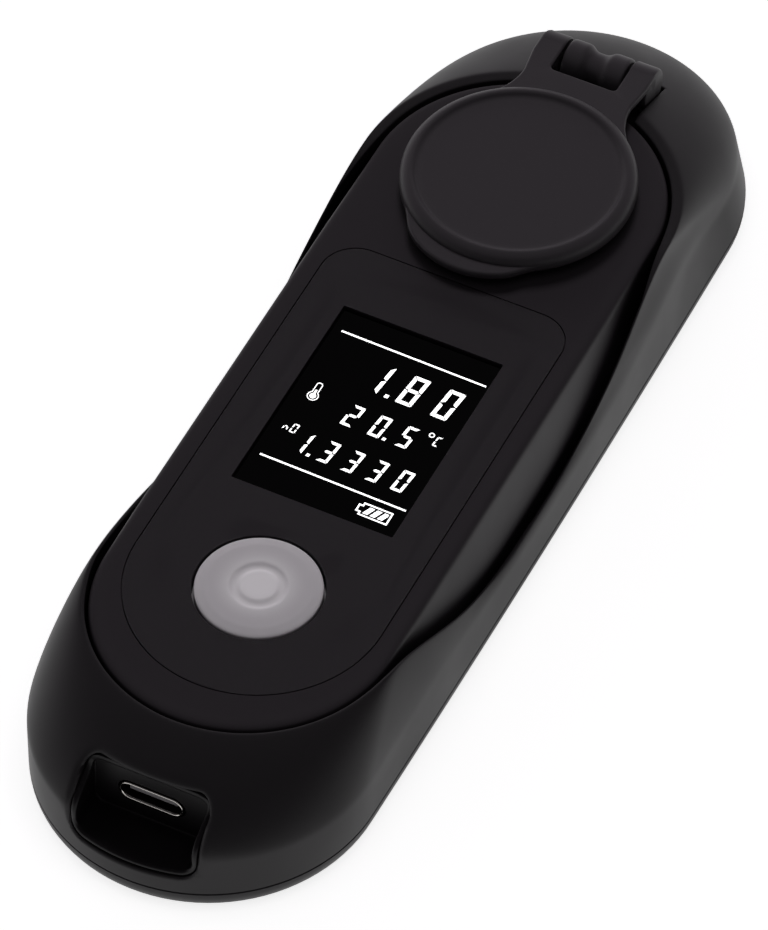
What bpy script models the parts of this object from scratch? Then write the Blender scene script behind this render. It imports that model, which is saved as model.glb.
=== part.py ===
"""Pocket digital refractometer as separate pieces, in metres, +Z up.

It stands on the middle of its base, with its width along X and the lid's hinge at the +Y end.
"""

import math

import bmesh
import bpy
from mathutils import Matrix, Vector

# Clearances
seat_gap = 0.0003
film_gap = 0.00015
cut_overrun = 0.004

# Body outline and heights
body_half_width = 0.0229
body_side_bulge = 0.00035
body_length = 0.1520
base_edge_inset = 0.0022
base_edge_height = 0.0025
parting_height = 0.0037
floor_thickness = 0.0020
sleeve_wall = 0.0020
wall_depth_near = 0.0099
wall_depth_far = 0.0103
wall_lean_far = 0.0012
end_shoulder_share = 1.33
side_shoulder_share = 1.8

# Casing and deck
casing_side_room = 0.0029
casing_near_room = 0.01365
casing_far_room = 0.02135
deck_height = 0.0207
deck_thickness = 0.0018
casing_wall = 0.0016
deck_edge_round = 0.0003

# Flared sides of the casing
flare_place = -0.0070
flare_near_share = 0.9335
flare_far_share = 0.8883
flare_out = 0.0015
flare_drop = 0.0060
flare_lip = 0.0006
flare_out_share = 0.8

# Rim of the sleeve
crest_rise_near = 0.0003
crest_rise_far = 0.0001
crest_out_near = 0.00185
crest_out_side = 0.0031
crest_out_far = 0.0020
crest_low_height = 0.0117
crest_low_place = -0.0070
crest_near_reach_share = 1.0184
crest_far_reach_share = 0.9964
crest_near_share = 1.2
crest_far_share = 1.25
rim_band_rise = 0.0010
rim_drop_near = 0.0005
rim_drop_side = 0.0009
rim_drop_far = 0.0010
under_rim_share = 0.88

# Display
display_side_room = 0.0059
display_near_room = 0.0065
display_far_room = 0.0101
display_depth = 0.0005
window_thickness = 0.0010
panel_thickness = 0.0022
frame_wall = 0.0011
display_flex_thickness = 0.0002
display_flex_half_width = 0.0080

# Overlay
overlay_side_room = 0.0027
overlay_thickness = 0.0003
overlay_lid_room = 0.0024
overlay_corner = 0.0050

# Button and switch
button_radius = 0.0082
button_inset = 0.0031
button_rise = 0.0005
button_nub_radius = 0.0025
button_ring_radius = 0.0034
button_ring_depth = 0.0003
button_flange = 0.0010
button_flange_thickness = 0.0008
button_stem_radius = 0.0025
button_travel = 0.0004
switch_half_width = 0.0030
switch_body_share = 0.3855
switch_plunger_radius = 0.0017
switch_plunger_share = 0.3304

# Lid and hinge
lid_offset = 0.0010
lid_side_room = 0.0044
lid_lift = 0.0012
lid_flange_thickness = 0.0012
lid_ring_inset = 0.0012
lid_ring_half_width = 0.0006
lid_ring_rise = 0.0006
lid_disc_rise = 0.0008
lid_wall = 0.0013
lid_tab_reach = 0.0022
lid_tab_turn = math.radians(-6)
lid_tab_half_angle = math.radians(40)
hinge_room = 0.0052
hinge_depth = 0.0005
hinge_barrel_radius = 0.00295
hinge_arm_step = 0.00005
hinge_arm_thickness = 0.0019
hinge_half_width = 0.0083
hinge_knuckle_half_width = 0.0044
hinge_side_gap = 0.00035
hinge_pin_radius = 0.0008
hinge_pin_gap = 0.00015
hinge_neck_half_width = 0.0078
hinge_neck_flare = 0.0028
hinge_neck_root = 0.0043
hinge_neck_length = 0.0065
hinge_waist_half_width = 0.0011
hinge_waist_depth = 0.0008
hinge_rear_room = 0.0034
bracket_drop = 0.0033
bracket_depth = 0.0040

# Sample dish and seals
dish_side_room = 0.0030
dish_rim_room = 0.0004
dish_rim_thickness = 0.0005
dish_rim_width = 0.0018
dish_skirt_inset = 0.0012
dish_skirt_wall = 0.0009
dish_depth = 0.0015
dish_floor_thickness = 0.0009
dish_seal_thickness = 0.0010
lid_seal_inset = 0.0020
lid_seal_width = 0.0016

# Optics
prism_share = 0.5444
prism_length = 0.0062
optics_side_room = 0.0008
optics_half_length = 0.0110
optics_depth = 0.0016
optics_foot_half_length = 0.0040
optics_face_depth = 0.0040
light_bore_radius = 0.0020
lamp_radius = 0.0015
lamp_length = 0.0034
lens_radius = 0.0017
lens_thickness = 0.0012
sensor_half_length = 0.0040
sensor_half_width = 0.0011
sensor_thickness = 0.0008
optics_board_half_width = 0.0055
optics_board_half_length = 0.0032
optics_board_thickness = 0.0010
thermistor_radius = 0.0008
thermistor_length = 0.0030
thermistor_share = 0.7556

# USB socket and its pocket
usb_half_width = 0.00447
usb_half_height = 0.00158
usb_length = 0.0073
usb_shell = 0.0003
usb_height_share = 0.56522
usb_face_rise = 0.0002
usb_tongue_half_width = 0.003345
usb_tongue_half_thickness = 0.00035
usb_tongue_setback = 0.0009
usb_block_length = 0.0022
pocket_half_width = 0.0080
pocket_floor_drop = 0.0043
pocket_roof_rise = 0.0042
pocket_wall = 0.0008
pocket_room = 0.00725
pocket_back_thickness = 0.0010
pocket_corner = 0.0014
pocket_setback = 0.0004

# Boards, battery and leads
board_thickness = 0.0016
board_side_room = 0.0029
board_tongue_room = 0.00116
processor_half_width = 0.0035
processor_height = 0.0010
battery_side_room = 0.0047
battery_length = 0.0400
battery_share = 0.7895
battery_pad_thickness = 0.0003
lead_radius = 0.0005
lead_bend_share = 0.4135
lead_side_place = 0.0040

# Screws and posts
screw_side_room = 0.0074
screw_near_inset = 0.00505
screw_far_inset = 0.00695
screw_head_radius = 0.0024
screw_head_height = 0.0013
screw_head_sink = 0.0003
screw_shank_radius = 0.0011
screw_length = 0.0090
screw_pad_radius = 0.0036
screw_pad_height = 0.0036
boss_radius = 0.0028
post_radius = 0.0022
post_side_room = 0.0070
post_bore_depth = 0.0045
board_screw_head_radius = 0.0018
board_screw_head_height = 0.0010
board_screw_shank_radius = 0.0009
board_screw_length = 0.0052
board_screw_room = 0.0002

# Rating plate recess in the base, bare
plate_recess_half_width = 0.0140
plate_recess_room = 0.0156
plate_recess_depth = 0.0003
plate_recess_corner = 0.0020

# Modelling settings
merge_distance = 0.00001
carrier_size = 0.0100
sharp_angle = math.radians(35)

# Counts
arc_steps = 18
side_steps = 24
shoulder_steps = 7
round_steps = 32
small_round_steps = 16
corner_steps = 5

# Places and heights that follow from the sizes above
body_centre_reach = body_length / 2 - body_half_width
casing_half_width = body_half_width - casing_side_room
casing_near_reach = body_length / 2 - casing_near_room
casing_far_reach = body_length / 2 - casing_far_room
casing_near_centre = -(casing_near_reach - casing_half_width)
casing_far_centre = casing_far_reach - casing_half_width
deck_underside = deck_height - deck_thickness
wall_height_near = deck_height - wall_depth_near
wall_height_far = deck_height - wall_depth_far
casing_bottom = floor_thickness + seat_gap
sleeve_bottom = parting_height + seat_gap
sleeve_inner_radius = casing_half_width + seat_gap + film_gap
housing_inner_radius = body_half_width - sleeve_wall
flare_near_reach = (flare_place - casing_near_centre) * flare_near_share
flare_far_reach = (casing_far_centre - flare_place) * flare_far_share
crest_near_reach = (crest_low_place - casing_near_centre) * crest_near_reach_share
crest_far_reach = (casing_far_centre - crest_low_place) * crest_far_reach_share
lid_place = casing_far_centre + lid_offset
lid_radius = casing_half_width - lid_side_room
overlay_half_width = casing_half_width - overlay_side_room
overlay_far_edge = lid_place - lid_radius - overlay_lid_room
button_place = casing_near_centre + button_inset
button_hole_radius = button_radius + seat_gap
display_near = button_place + button_radius + display_near_room
display_far = overlay_far_edge - display_far_room
display_place = (display_near + display_far) / 2
display_half_length = (display_far - display_near) / 2
display_half_width = overlay_half_width - display_side_room
usb_height = deck_height * usb_height_share
usb_bottom = usb_height - usb_half_height
pocket_floor_height = usb_height - pocket_floor_drop
pocket_roof_height = usb_height + pocket_roof_rise
pocket_back_place = body_length / 2 - pocket_room
usb_face_place = pocket_back_place + usb_face_rise
board_top = usb_bottom - seat_gap
board_bottom = board_top - board_thickness
board_half_width = casing_half_width - casing_wall - board_side_room
board_near_edge = -(pocket_back_place - pocket_back_thickness - seat_gap)
battery_half_width = board_half_width - battery_side_room
battery_low = floor_thickness + battery_pad_thickness + seat_gap * 2
battery_thickness = (board_bottom - battery_low) * battery_share
lead_bend = (board_bottom - battery_low) * lead_bend_share
switch_body_height = (deck_underside - board_top) * switch_body_share
switch_plunger_length = (deck_underside - board_top) * switch_plunger_share
screw_side_place = casing_half_width - screw_side_room
board_tongue_half_width = screw_side_place - boss_radius - board_tongue_room
screw_near_place = casing_near_centre - screw_near_inset
screw_far_place = casing_far_centre + screw_far_inset
post_side_place = casing_half_width - post_side_room
plate_recess_half_length = screw_far_place - plate_recess_room
frame_half_width = display_half_width + seat_gap + frame_wall * 2
frame_half_length = display_half_length + seat_gap + frame_wall * 2
post_near_place = display_place - frame_half_length - post_radius - board_screw_head_radius
post_far_place = display_place + frame_half_length + post_radius + board_screw_head_radius
board_far_edge = post_far_place + post_radius + seat_gap
window_top = deck_height - display_depth
window_bottom = window_top - window_thickness
panel_top = deck_underside - seat_gap
panel_bottom = panel_top - panel_thickness
lid_under_height = deck_height + lid_lift
lid_flange_top = lid_under_height + lid_flange_thickness
lid_disc_height = lid_flange_top + lid_disc_rise
lid_ring_height = lid_disc_height + lid_ring_rise
lid_ring_radius = lid_radius - lid_ring_inset
lid_recess_height = lid_disc_height - lid_wall
lid_inner_radius = lid_ring_radius - lid_wall
lid_seal_outer_radius = lid_ring_radius - lid_seal_inset
hinge_place = casing_far_reach + hinge_room
hinge_height = deck_height - hinge_depth
hinge_arm_top = hinge_height + hinge_barrel_radius + hinge_arm_step
bracket_height = hinge_height - bracket_drop
hinge_slot_half_width = hinge_knuckle_half_width + hinge_side_gap
hinge_rear_place = hinge_place + hinge_rear_room
screw_shoulder = screw_head_sink + screw_head_height
dish_radius = lid_radius - dish_side_room
dish_rim_height = lid_under_height - dish_rim_room
dish_skirt_radius = dish_radius - dish_skirt_inset
dish_floor_height = dish_rim_height - dish_depth
optics_half_width = screw_side_place - boss_radius - optics_side_room
optics_height = deck_underside - optics_depth
optics_side_height = optics_height - optics_face_depth
optics_knee_height = optics_side_height - (optics_half_length - optics_foot_half_length)
prism_radius = optics_half_width * prism_share
thermistor_place = optics_half_width * thermistor_share
light_bore_length = (optics_half_length + optics_foot_half_length) / 2


def clear_scene():
    """Remove whatever the file holds."""
    for item in list(bpy.data.objects):
        bpy.data.objects.remove(item, do_unlink=True)


def new_collection(name):
    """A collection of its own, linked to the scene."""
    group = bpy.data.collections.new(name)
    bpy.context.scene.collection.children.link(group)
    return group


def new_carrier(name, place):
    """An empty that carries the pieces of one body."""
    carrier = bpy.data.objects.new(name, None)
    carrier.location = place
    carrier.empty_display_size = carrier_size
    pieces.objects.link(carrier)
    return carrier


clear_scene()
pieces = new_collection("digital_refractometer")
guides = new_collection("cutters")
housing_carrier = new_carrier("housing", (0, 0, 0))
lid_carrier = new_carrier("lid_hinge", (0, hinge_place, hinge_height))
button_carrier = new_carrier("button_press", (0, button_place, deck_height))


def finish(name, colour, roughness, metallic=0.0, transmission=0.0):
    """One Principled material."""
    surface = bpy.data.materials.new(name)
    surface.use_nodes = True
    shader = surface.node_tree.nodes["Principled BSDF"]
    shader.inputs["Base Color"].default_value = (*colour, 1)
    shader.inputs["Roughness"].default_value = roughness
    shader.inputs["Metallic"].default_value = metallic
    shader.inputs["Transmission Weight"].default_value = transmission
    surface.diffuse_color = (*colour, 1)
    return surface


soft_touch = finish("soft_touch_rubber", (0.030, 0.030, 0.031), 0.55)
casing_plastic = finish("casing_plastic", (0.020, 0.020, 0.021), 0.38)
film_finish = finish("overlay_film", (0.014, 0.014, 0.015), 0.32)
window_finish = finish("display_window", (0.004, 0.004, 0.005), 0.08)
button_finish = finish("button_rubber", (0.36, 0.36, 0.36), 0.5)
steel = finish("stainless_steel", (0.62, 0.61, 0.60), 0.25, 1.0)
plated = finish("plated_shell", (0.70, 0.70, 0.68), 0.22, 1.0)
glass = finish("prism_glass", (0.85, 0.92, 0.95), 0.03, 0.0, 0.9)
seal_rubber = finish("seal_rubber", (0.018, 0.018, 0.018), 0.6)
board_finish = finish("board_laminate", (0.02, 0.16, 0.06), 0.45)
black_plastic = finish("black_plastic", (0.012, 0.012, 0.012), 0.45)
cell_wrap = finish("cell_wrap", (0.18, 0.30, 0.42), 0.4)
foam = finish("foam_pad", (0.05, 0.05, 0.05), 0.9)
lead_red = finish("lead_red", (0.45, 0.02, 0.02), 0.4)
lead_black = finish("lead_black", (0.02, 0.02, 0.02), 0.4)
flex_finish = finish("flex_film", (0.45, 0.20, 0.03), 0.35)


def keep(item, surface=None):
    """File a piece with the parts, or a guide that only cuts or joins with the cutters."""
    if surface is None:
        guides.objects.link(item)
        item.hide_render = True
        item.display_type = "WIRE"
        return item
    pieces.objects.link(item)
    own = surface.copy()
    own.name = item.name
    item.data.materials.append(own)
    hang(item, housing_carrier)
    return item


def hang(item, carrier):
    """Let a carrier move a piece, which stays where it is."""
    item.parent = carrier
    item.matrix_parent_inverse = Matrix.Translation(carrier.location).inverted()


def from_bmesh(name, shape, surface=None):
    """Turn a bmesh into an object with outward faces, smooth where it is round."""
    bmesh.ops.recalc_face_normals(shape, faces=shape.faces)
    data = bpy.data.meshes.new(name)
    shape.to_mesh(data)
    shape.free()
    data.shade_smooth()
    data.set_sharp_from_angle(angle=sharp_angle)
    return keep(bpy.data.objects.new(name, data), surface)


def lofted(name, rings, surface=None, tube=False):
    """Skin rings of points; a tube joins its last ring to its first, otherwise both ends are capped."""
    shape = bmesh.new()
    rows = [[shape.verts.new(point) for point in ring] for ring in rings]
    pairs = list(zip(rows, rows[1:]))
    if tube:
        pairs.append((rows[-1], rows[0]))
    else:
        shape.faces.new(rows[0])
        shape.faces.new(rows[-1])
    for first, second in pairs:
        for place, corner in enumerate(first):
            after = (place + 1) % len(first)
            shape.faces.new((corner, first[after], second[after], second[place]))
    return from_bmesh(name, shape, surface)


def filled_outline(name, outline, thickness, centre, turn, surface=None):
    """A flat outline, filled and extruded to both sides of its middle, then made a mesh."""
    curve = bpy.data.curves.new(name, "CURVE")
    curve.dimensions = "2D"
    curve.fill_mode = "BOTH"
    curve.extrude = thickness / 2
    spline = curve.splines.new("POLY")
    spline.points.add(len(outline) - 1)
    for corner, (across, up) in zip(spline.points, outline):
        corner.co = (across, up, 0, 1)
    spline.use_cyclic_u = True
    draft = bpy.data.objects.new(name, curve)
    guides.objects.link(draft)
    draft.location = centre
    draft.rotation_euler = turn
    settled = draft.evaluated_get(bpy.context.evaluated_depsgraph_get())
    shape = bmesh.new()
    shape.from_mesh(bpy.data.meshes.new_from_object(settled))
    place = settled.matrix_world.copy()
    bpy.data.objects.remove(draft, do_unlink=True)
    bpy.data.curves.remove(curve)
    bmesh.ops.remove_doubles(shape, verts=shape.verts, dist=merge_distance)
    item = from_bmesh(name, shape, surface)
    item.matrix_world = place
    return item


def plate(name, outline, low, high, surface=None):
    """A flat piece with an outline in X and Y, between two heights."""
    return filled_outline(name, outline, high - low, (0, 0, (low + high) / 2), (0, 0, 0), surface)


def slab_along_x(name, outline, half_width, surface=None):
    """A piece with an outline in Y and Z, as wide to each side of the middle."""
    turn = (math.pi / 2, 0, math.pi / 2)
    return filled_outline(name, outline, half_width * 2, (0, 0, 0), turn, surface)


def slab_along_y(name, outline, near, far, surface=None):
    """A piece with an outline in X and Z, between two places along Y."""
    turn = (math.pi / 2, 0, 0)
    return filled_outline(name, outline, far - near, (0, (near + far) / 2, 0), turn, surface)


def box(name, low, high, surface=None, facing=None):
    """A block between two corners, with its top turned to face a direction if one is given."""
    low, high = Vector(low), Vector(high)
    shape = bmesh.new()
    bmesh.ops.create_cube(shape, size=1.0)
    bmesh.ops.scale(shape, vec=high - low, verts=shape.verts)
    item = from_bmesh(name, shape, surface)
    item.location = (low + high) / 2
    if facing is not None:
        item.rotation_euler = facing.to_track_quat("Z", "X").to_euler()
    return item


def rod(name, start, end, radius, surface, steps=small_round_steps):
    """A plain round rod between two points."""
    start, end = Vector(start), Vector(end)
    shape = bmesh.new()
    bmesh.ops.create_cone(
        shape, cap_ends=True, segments=steps, radius1=radius, radius2=radius,
        depth=(end - start).length,
    )
    item = from_bmesh(name, shape, surface)
    item.location = (start + end) / 2
    item.rotation_euler = (end - start).to_track_quat("Z", "Y").to_euler()
    return item


def rod_guide(name, ends, radius, steps=small_round_steps):
    """A guide of one or more plain round rods, each between two points."""
    shape = bmesh.new()
    for start, end in ends:
        start, end = Vector(start), Vector(end)
        turn = (end - start).to_track_quat("Z", "Y").to_matrix().to_4x4()
        bmesh.ops.create_cone(
            shape, cap_ends=True, segments=steps, radius1=radius, radius2=radius,
            depth=(end - start).length, matrix=Matrix.Translation((start + end) / 2) @ turn,
        )
    return from_bmesh(name, shape)


def turned(name, profile, place, surface=None, ring=False, steps=round_steps, turn=(0, 0, 0)):
    """A turned piece: a profile of radii and heights, top to bottom down its outer side."""
    count = len(profile)
    edges = [(i, i + 1) for i in range(count - 1)]
    if ring:
        edges.append((count - 1, 0))
    data = bpy.data.meshes.new(name)
    data.from_pydata([(radius, 0, height) for radius, height in profile], edges, [])
    item = keep(bpy.data.objects.new(name, data), surface)
    item.location = place
    item.rotation_euler = turn
    screw = item.modifiers.new("turn", "SCREW")
    screw.steps = steps
    screw.render_steps = steps
    screw.use_merge_vertices = True
    screw.merge_threshold = merge_distance
    screw.use_smooth_shade = True
    return item


def combine(item, other, operation):
    """Cut, join or trim a piece with a guide."""
    step = item.modifiers.new(other.name, "BOOLEAN")
    step.operation = operation
    step.solver = "EXACT"
    step.object = other
    return item


def cut(item, *others):
    """Take guides out of a piece."""
    for other in others:
        combine(item, other, "DIFFERENCE")
    return item


def join(item, *others):
    """Join guides to a piece."""
    for other in others:
        combine(item, other, "UNION")
    return item


def bevelled(item, width, segments=2):
    """Round the sharp edges of a simple piece."""
    step = item.modifiers.new("edges", "BEVEL")
    step.width = width
    step.segments = segments
    step.limit_method = "ANGLE"
    return item


def smoothstep(share):
    """Ease from 0 to 1."""
    share = min(max(share, 0.0), 1.0)
    return share * share * (3 - 2 * share)


def between(low, high, share):
    """A value at a share of the way from low to high."""
    return low + (high - low) * share


def stations():
    """Walk round the body: an outward direction, and how far the spine is from near to far centre."""
    walk = []
    for step in range(arc_steps + 1):
        angle = math.pi + math.pi * step / arc_steps
        walk.append((math.cos(angle), math.sin(angle), 0.0))
    for step in range(1, side_steps):
        walk.append((1.0, 0.0, step / side_steps))
    for step in range(arc_steps + 1):
        angle = math.pi * step / arc_steps
        walk.append((math.cos(angle), math.sin(angle), 1.0))
    for step in range(1, side_steps):
        walk.append((-1.0, 0.0, 1.0 - step / side_steps))
    return walk


round_walk = stations()


def walk_point(station, near_centre, far_centre, radius):
    """A station's plan place on a stadium outline."""
    out_x, out_y, share = station
    return out_x * radius, between(near_centre, far_centre, share) + out_y * radius


def side_bulge_at(share):
    """How far the body's sides bulge between its two round ends."""
    return body_side_bulge * 4 * share * (1 - share)


def body_ring(radius, height):
    """A level ring that follows the body's outline, at a radius from its spine."""
    ring = []
    for station in round_walk:
        out = radius + side_bulge_at(station[2])
        x, y = walk_point(station, -body_centre_reach, body_centre_reach, out)
        ring.append(Vector((x, y, height)))
    return ring


def casing_ring(radius, height):
    """A level ring that follows the casing's outline."""
    return [
        Vector((*walk_point(station, casing_near_centre, casing_far_centre, radius), height))
        for station in round_walk
    ]


def end_blend(share, near, side, far):
    """Ease a size from the near end over the side to the far end."""
    if share < 0.5:
        return between(near, side, smoothstep(share * 2))
    return between(side, far, smoothstep(share * 2 - 1))


def crest_height(place):
    """Height of the sleeve's rim: high round both ends, scooped down along the sides."""
    near_height = deck_height + crest_rise_near
    far_height = deck_height + crest_rise_far
    if place < crest_low_place:
        rise = ((crest_low_place - place) / crest_near_reach) ** crest_near_share
        return between(crest_low_height, near_height, smoothstep(rise))
    rise = ((place - crest_low_place) / crest_far_reach) ** crest_far_share
    return between(crest_low_height, far_height, smoothstep(rise))


def crest_radius(station):
    """How far the rim's crest stands from the casing's spine."""
    out = end_blend(station[2], crest_out_near, crest_out_side, crest_out_far)
    return casing_half_width + out


def rim_drop_at(station):
    """How far the rim's band falls from the crest to the gap round the casing."""
    return end_blend(station[2], rim_drop_near, rim_drop_side, rim_drop_far)


def crest_top(station):
    """The crest's height at a station."""
    place = walk_point(station, casing_near_centre, casing_far_centre, crest_radius(station))[1]
    return crest_height(place)


def shoulder_ring(step, inset):
    """A ring up the sleeve's shoulder: the wall's top at step 0, the crest at the last step."""
    ring = []
    angle = math.pi / 2 * (1 - step / shoulder_steps)
    for station in round_walk:
        share = station[2]
        bulge = end_blend(share, end_shoulder_share, side_shoulder_share, end_shoulder_share)
        out = math.sin(angle) ** (2 / bulge)
        up = max(math.cos(angle), 0.0) ** (2 / bulge)
        near_centre = between(casing_near_centre, -body_centre_reach, out)
        far_centre = between(casing_far_centre, body_centre_reach, out)
        top_radius = crest_radius(station)
        top = crest_top(station)
        low = end_blend(share, wall_height_near, sleeve_bottom, wall_height_far)
        low = min(low, top - rim_band_rise)
        if inset:
            top_radius = sleeve_inner_radius
            top = between(sleeve_bottom, top - rim_drop_at(station), under_rim_share)
            low = between(sleeve_bottom, low, under_rim_share)
        lean = end_blend(share, 0.0, 0.0, wall_lean_far)
        foot_radius = body_half_width + side_bulge_at(share) - lean - inset
        x, y = walk_point(station, near_centre, far_centre, between(top_radius, foot_radius, out))
        ring.append(Vector((x, y, between(low, top, up))))
    return ring


def rim_inner_ring():
    """The inner edge of the rim's band, beside the casing."""
    ring = []
    for station in round_walk:
        x, y = walk_point(station, casing_near_centre, casing_far_centre, sleeve_inner_radius)
        ring.append(Vector((x, y, crest_top(station) - rim_drop_at(station))))
    return ring


def flare_share_at(place):
    """How much the casing's side flares at a place along Y, from 0 to 1."""
    if place < flare_place:
        return smoothstep(1 - (flare_place - place) / flare_near_reach)
    return smoothstep(1 - (place - flare_place) / flare_far_reach)


def flare_ring(lip):
    """The flare's lower edge, or the undercut just below it."""
    ring = []
    for station in round_walk:
        x, y = walk_point(station, casing_near_centre, casing_far_centre, casing_half_width)
        bend = flare_share_at(y) if station[1] == 0 or abs(station[0]) == 1 else 0.0
        out = flare_out * bend ** flare_out_share
        height = deck_height - deck_edge_round - flare_lip - flare_drop * bend
        if lip:
            ring.append(Vector((x + math.copysign(out, x), y, height)))
        else:
            ring.append(Vector((x, y, height - flare_lip - out / 2)))
    return ring


def rounded_rectangle(half_width, half_height, radius, middle=(0.0, 0.0)):
    """Outline of a rectangle with round corners."""
    points = []
    for corner, (side, up) in enumerate(((1, 1), (-1, 1), (-1, -1), (1, -1))):
        for step in range(corner_steps + 1):
            angle = math.pi / 2 * (corner + step / corner_steps)
            points.append((
                middle[0] + side * (half_width - radius) + radius * math.cos(angle),
                middle[1] + up * (half_height - radius) + radius * math.sin(angle),
            ))
    return points


def overlay_outline(inset):
    """Outline of the overlay: round about the button, with small corners at the far end."""
    side = overlay_half_width - inset
    points = []
    for step in range(arc_steps + 1):
        angle = math.pi + math.pi * step / arc_steps
        points.append((side * math.cos(angle), button_place + side * math.sin(angle)))
    for sign in (1, -1):
        for step in range(corner_steps + 1):
            angle = math.pi / 2 * step / corner_steps
            if sign < 0:
                angle += math.pi / 2
            radius = overlay_corner - inset
            points.append((
                sign * (side - radius) + radius * math.cos(angle),
                overlay_far_edge - inset - radius + radius * math.sin(angle),
            ))
    return points


# Housing: tray, sleeve and casing

def make_lower_housing():
    """The tray: floor, low wall, screw pads and the bare recess under it."""
    rings = [
        body_ring(housing_inner_radius - base_edge_inset / 4, floor_thickness),
        body_ring(housing_inner_radius, parting_height),
        body_ring(body_half_width, parting_height),
        body_ring(body_half_width, base_edge_height),
        body_ring(body_half_width - base_edge_inset * 0.35, base_edge_height * 0.3),
        body_ring(body_half_width - base_edge_inset, 0),
    ]
    tray = lofted("lower_housing", rings, soft_touch)
    pads = rod_guide(
        "screw_pads",
        [((x, y, floor_thickness / 2), (x, y, screw_pad_height)) for x, y in screw_places()],
        screw_pad_radius, steps=round_steps,
    )
    sinks = rod_guide(
        "screw_sinks",
        [((x, y, -cut_overrun), (x, y, screw_shoulder + seat_gap)) for x, y in screw_places()],
        screw_head_radius + seat_gap,
    )
    holes = rod_guide(
        "screw_holes",
        [((x, y, -cut_overrun), (x, y, screw_pad_height + cut_overrun)) for x, y in screw_places()],
        screw_shank_radius + seat_gap,
    )
    recess = plate(
        "plate_recess",
        rounded_rectangle(plate_recess_half_width, plate_recess_half_length, plate_recess_corner),
        -cut_overrun, plate_recess_depth,
    )
    join(tray, pads)
    return cut(tray, sinks, holes, recess)


def screw_places():
    """Plan places of the four housing screws."""
    return [
        (side * screw_side_place, place)
        for place in (screw_near_place, screw_far_place) for side in (-1, 1)
    ]


def post_places():
    """Plan places of the four board posts."""
    return [
        (side * post_side_place, place)
        for place in (post_near_place, post_far_place) for side in (-1, 1)
    ]


def make_outer_sleeve():
    """The soft outer body, open over the casing, with the USB mouth and the hinge notch."""
    rings = [body_ring(body_half_width, sleeve_bottom)]
    rings += [shoulder_ring(step, 0) for step in range(shoulder_steps + 1)]
    rings.append(rim_inner_ring())
    rings += [shoulder_ring(step, sleeve_wall) for step in range(shoulder_steps, -1, -1)]
    rings.append(body_ring(body_half_width - sleeve_wall, sleeve_bottom))
    sleeve = lofted("outer_sleeve", rings, soft_touch, tube=True)
    mouth = slab_along_y(
        "usb_mouth",
        pocket_outline(pocket_wall + seat_gap),
        -body_length, -(pocket_back_place - pocket_back_thickness - seat_gap),
    )
    notch = box(
        "hinge_notch",
        (
            -hinge_half_width - seat_gap,
            casing_far_reach - cut_overrun,
            bracket_height - bracket_depth - seat_gap,
        ),
        (hinge_half_width + seat_gap, hinge_rear_place, lid_ring_height),
    )
    return cut(sleeve, mouth, notch)


def pocket_outline(grow):
    """Outline of the USB pocket's opening in X and Z, grown by a wall or a gap."""
    middle = (pocket_roof_height + pocket_floor_height) / 2
    half_height = (pocket_roof_height - pocket_floor_height) / 2
    return rounded_rectangle(
        pocket_half_width + grow, half_height + grow, pocket_corner, (0.0, middle)
    )


def make_upper_casing():
    """The inner casing: flat deck, flared sides, screw bosses and board posts."""
    rings = [
        casing_ring(casing_half_width - casing_wall, deck_underside),
        casing_ring(casing_half_width - casing_wall, casing_bottom),
        casing_ring(casing_half_width, casing_bottom),
        flare_ring(lip=False),
        flare_ring(lip=True),
        casing_ring(casing_half_width, deck_height - deck_edge_round),
        casing_ring(casing_half_width - deck_edge_round, deck_height),
    ]
    casing = lofted("upper_casing", rings, casing_plastic)
    root = deck_underside + deck_thickness / 2
    bosses = rod_guide(
        "screw_bosses",
        [((x, y, screw_pad_height + seat_gap), (x, y, root)) for x, y in screw_places()],
        boss_radius,
    )
    posts = rod_guide(
        "board_posts",
        [((x, y, board_top + seat_gap), (x, y, root)) for x, y in post_places()],
        post_radius,
    )
    join(casing, bosses, posts)
    boss_bores = rod_guide(
        "boss_bores",
        [
            ((x, y, casing_bottom), (x, y, screw_shoulder + screw_length + seat_gap))
            for x, y in screw_places()
        ],
        screw_shank_radius + seat_gap,
    )
    post_bores = rod_guide(
        "post_bores",
        [
            ((x, y, board_top - cut_overrun), (x, y, board_top + post_bore_depth + seat_gap))
            for x, y in post_places()
        ],
        board_screw_shank_radius + seat_gap,
    )
    pocket = plate(
        "overlay_pocket",
        overlay_outline(0), deck_height - overlay_thickness - film_gap, deck_height + cut_overrun,
    )
    opening = box(
        "display_opening",
        (
            -display_half_width - film_gap,
            display_near - film_gap,
            deck_underside - cut_overrun,
        ),
        (
            display_half_width + film_gap,
            display_far + film_gap,
            deck_height + cut_overrun,
        ),
    )
    button_hole = rod_guide(
        "button_hole",
        [
            ((0, button_place, deck_underside - cut_overrun),
             (0, button_place, deck_height + cut_overrun))
        ],
        button_hole_radius, steps=round_steps,
    )
    dish_hole = rod_guide(
        "dish_hole",
        [((0, lid_place, deck_underside - cut_overrun), (0, lid_place, deck_height + cut_overrun))],
        dish_skirt_radius + seat_gap, steps=round_steps,
    )
    board_slot = box(
        "board_slot",
        (
            -board_tongue_half_width - seat_gap,
            -casing_near_reach - cut_overrun,
            casing_bottom - cut_overrun,
        ),
        (
            board_tongue_half_width + seat_gap,
            casing_near_centre - casing_half_width / 2,
            usb_height + usb_half_height * 2,
        ),
    )
    return cut(casing, boss_bores, post_bores, pocket, opening, button_hole, dish_hole, board_slot)


# Display and overlay

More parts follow.
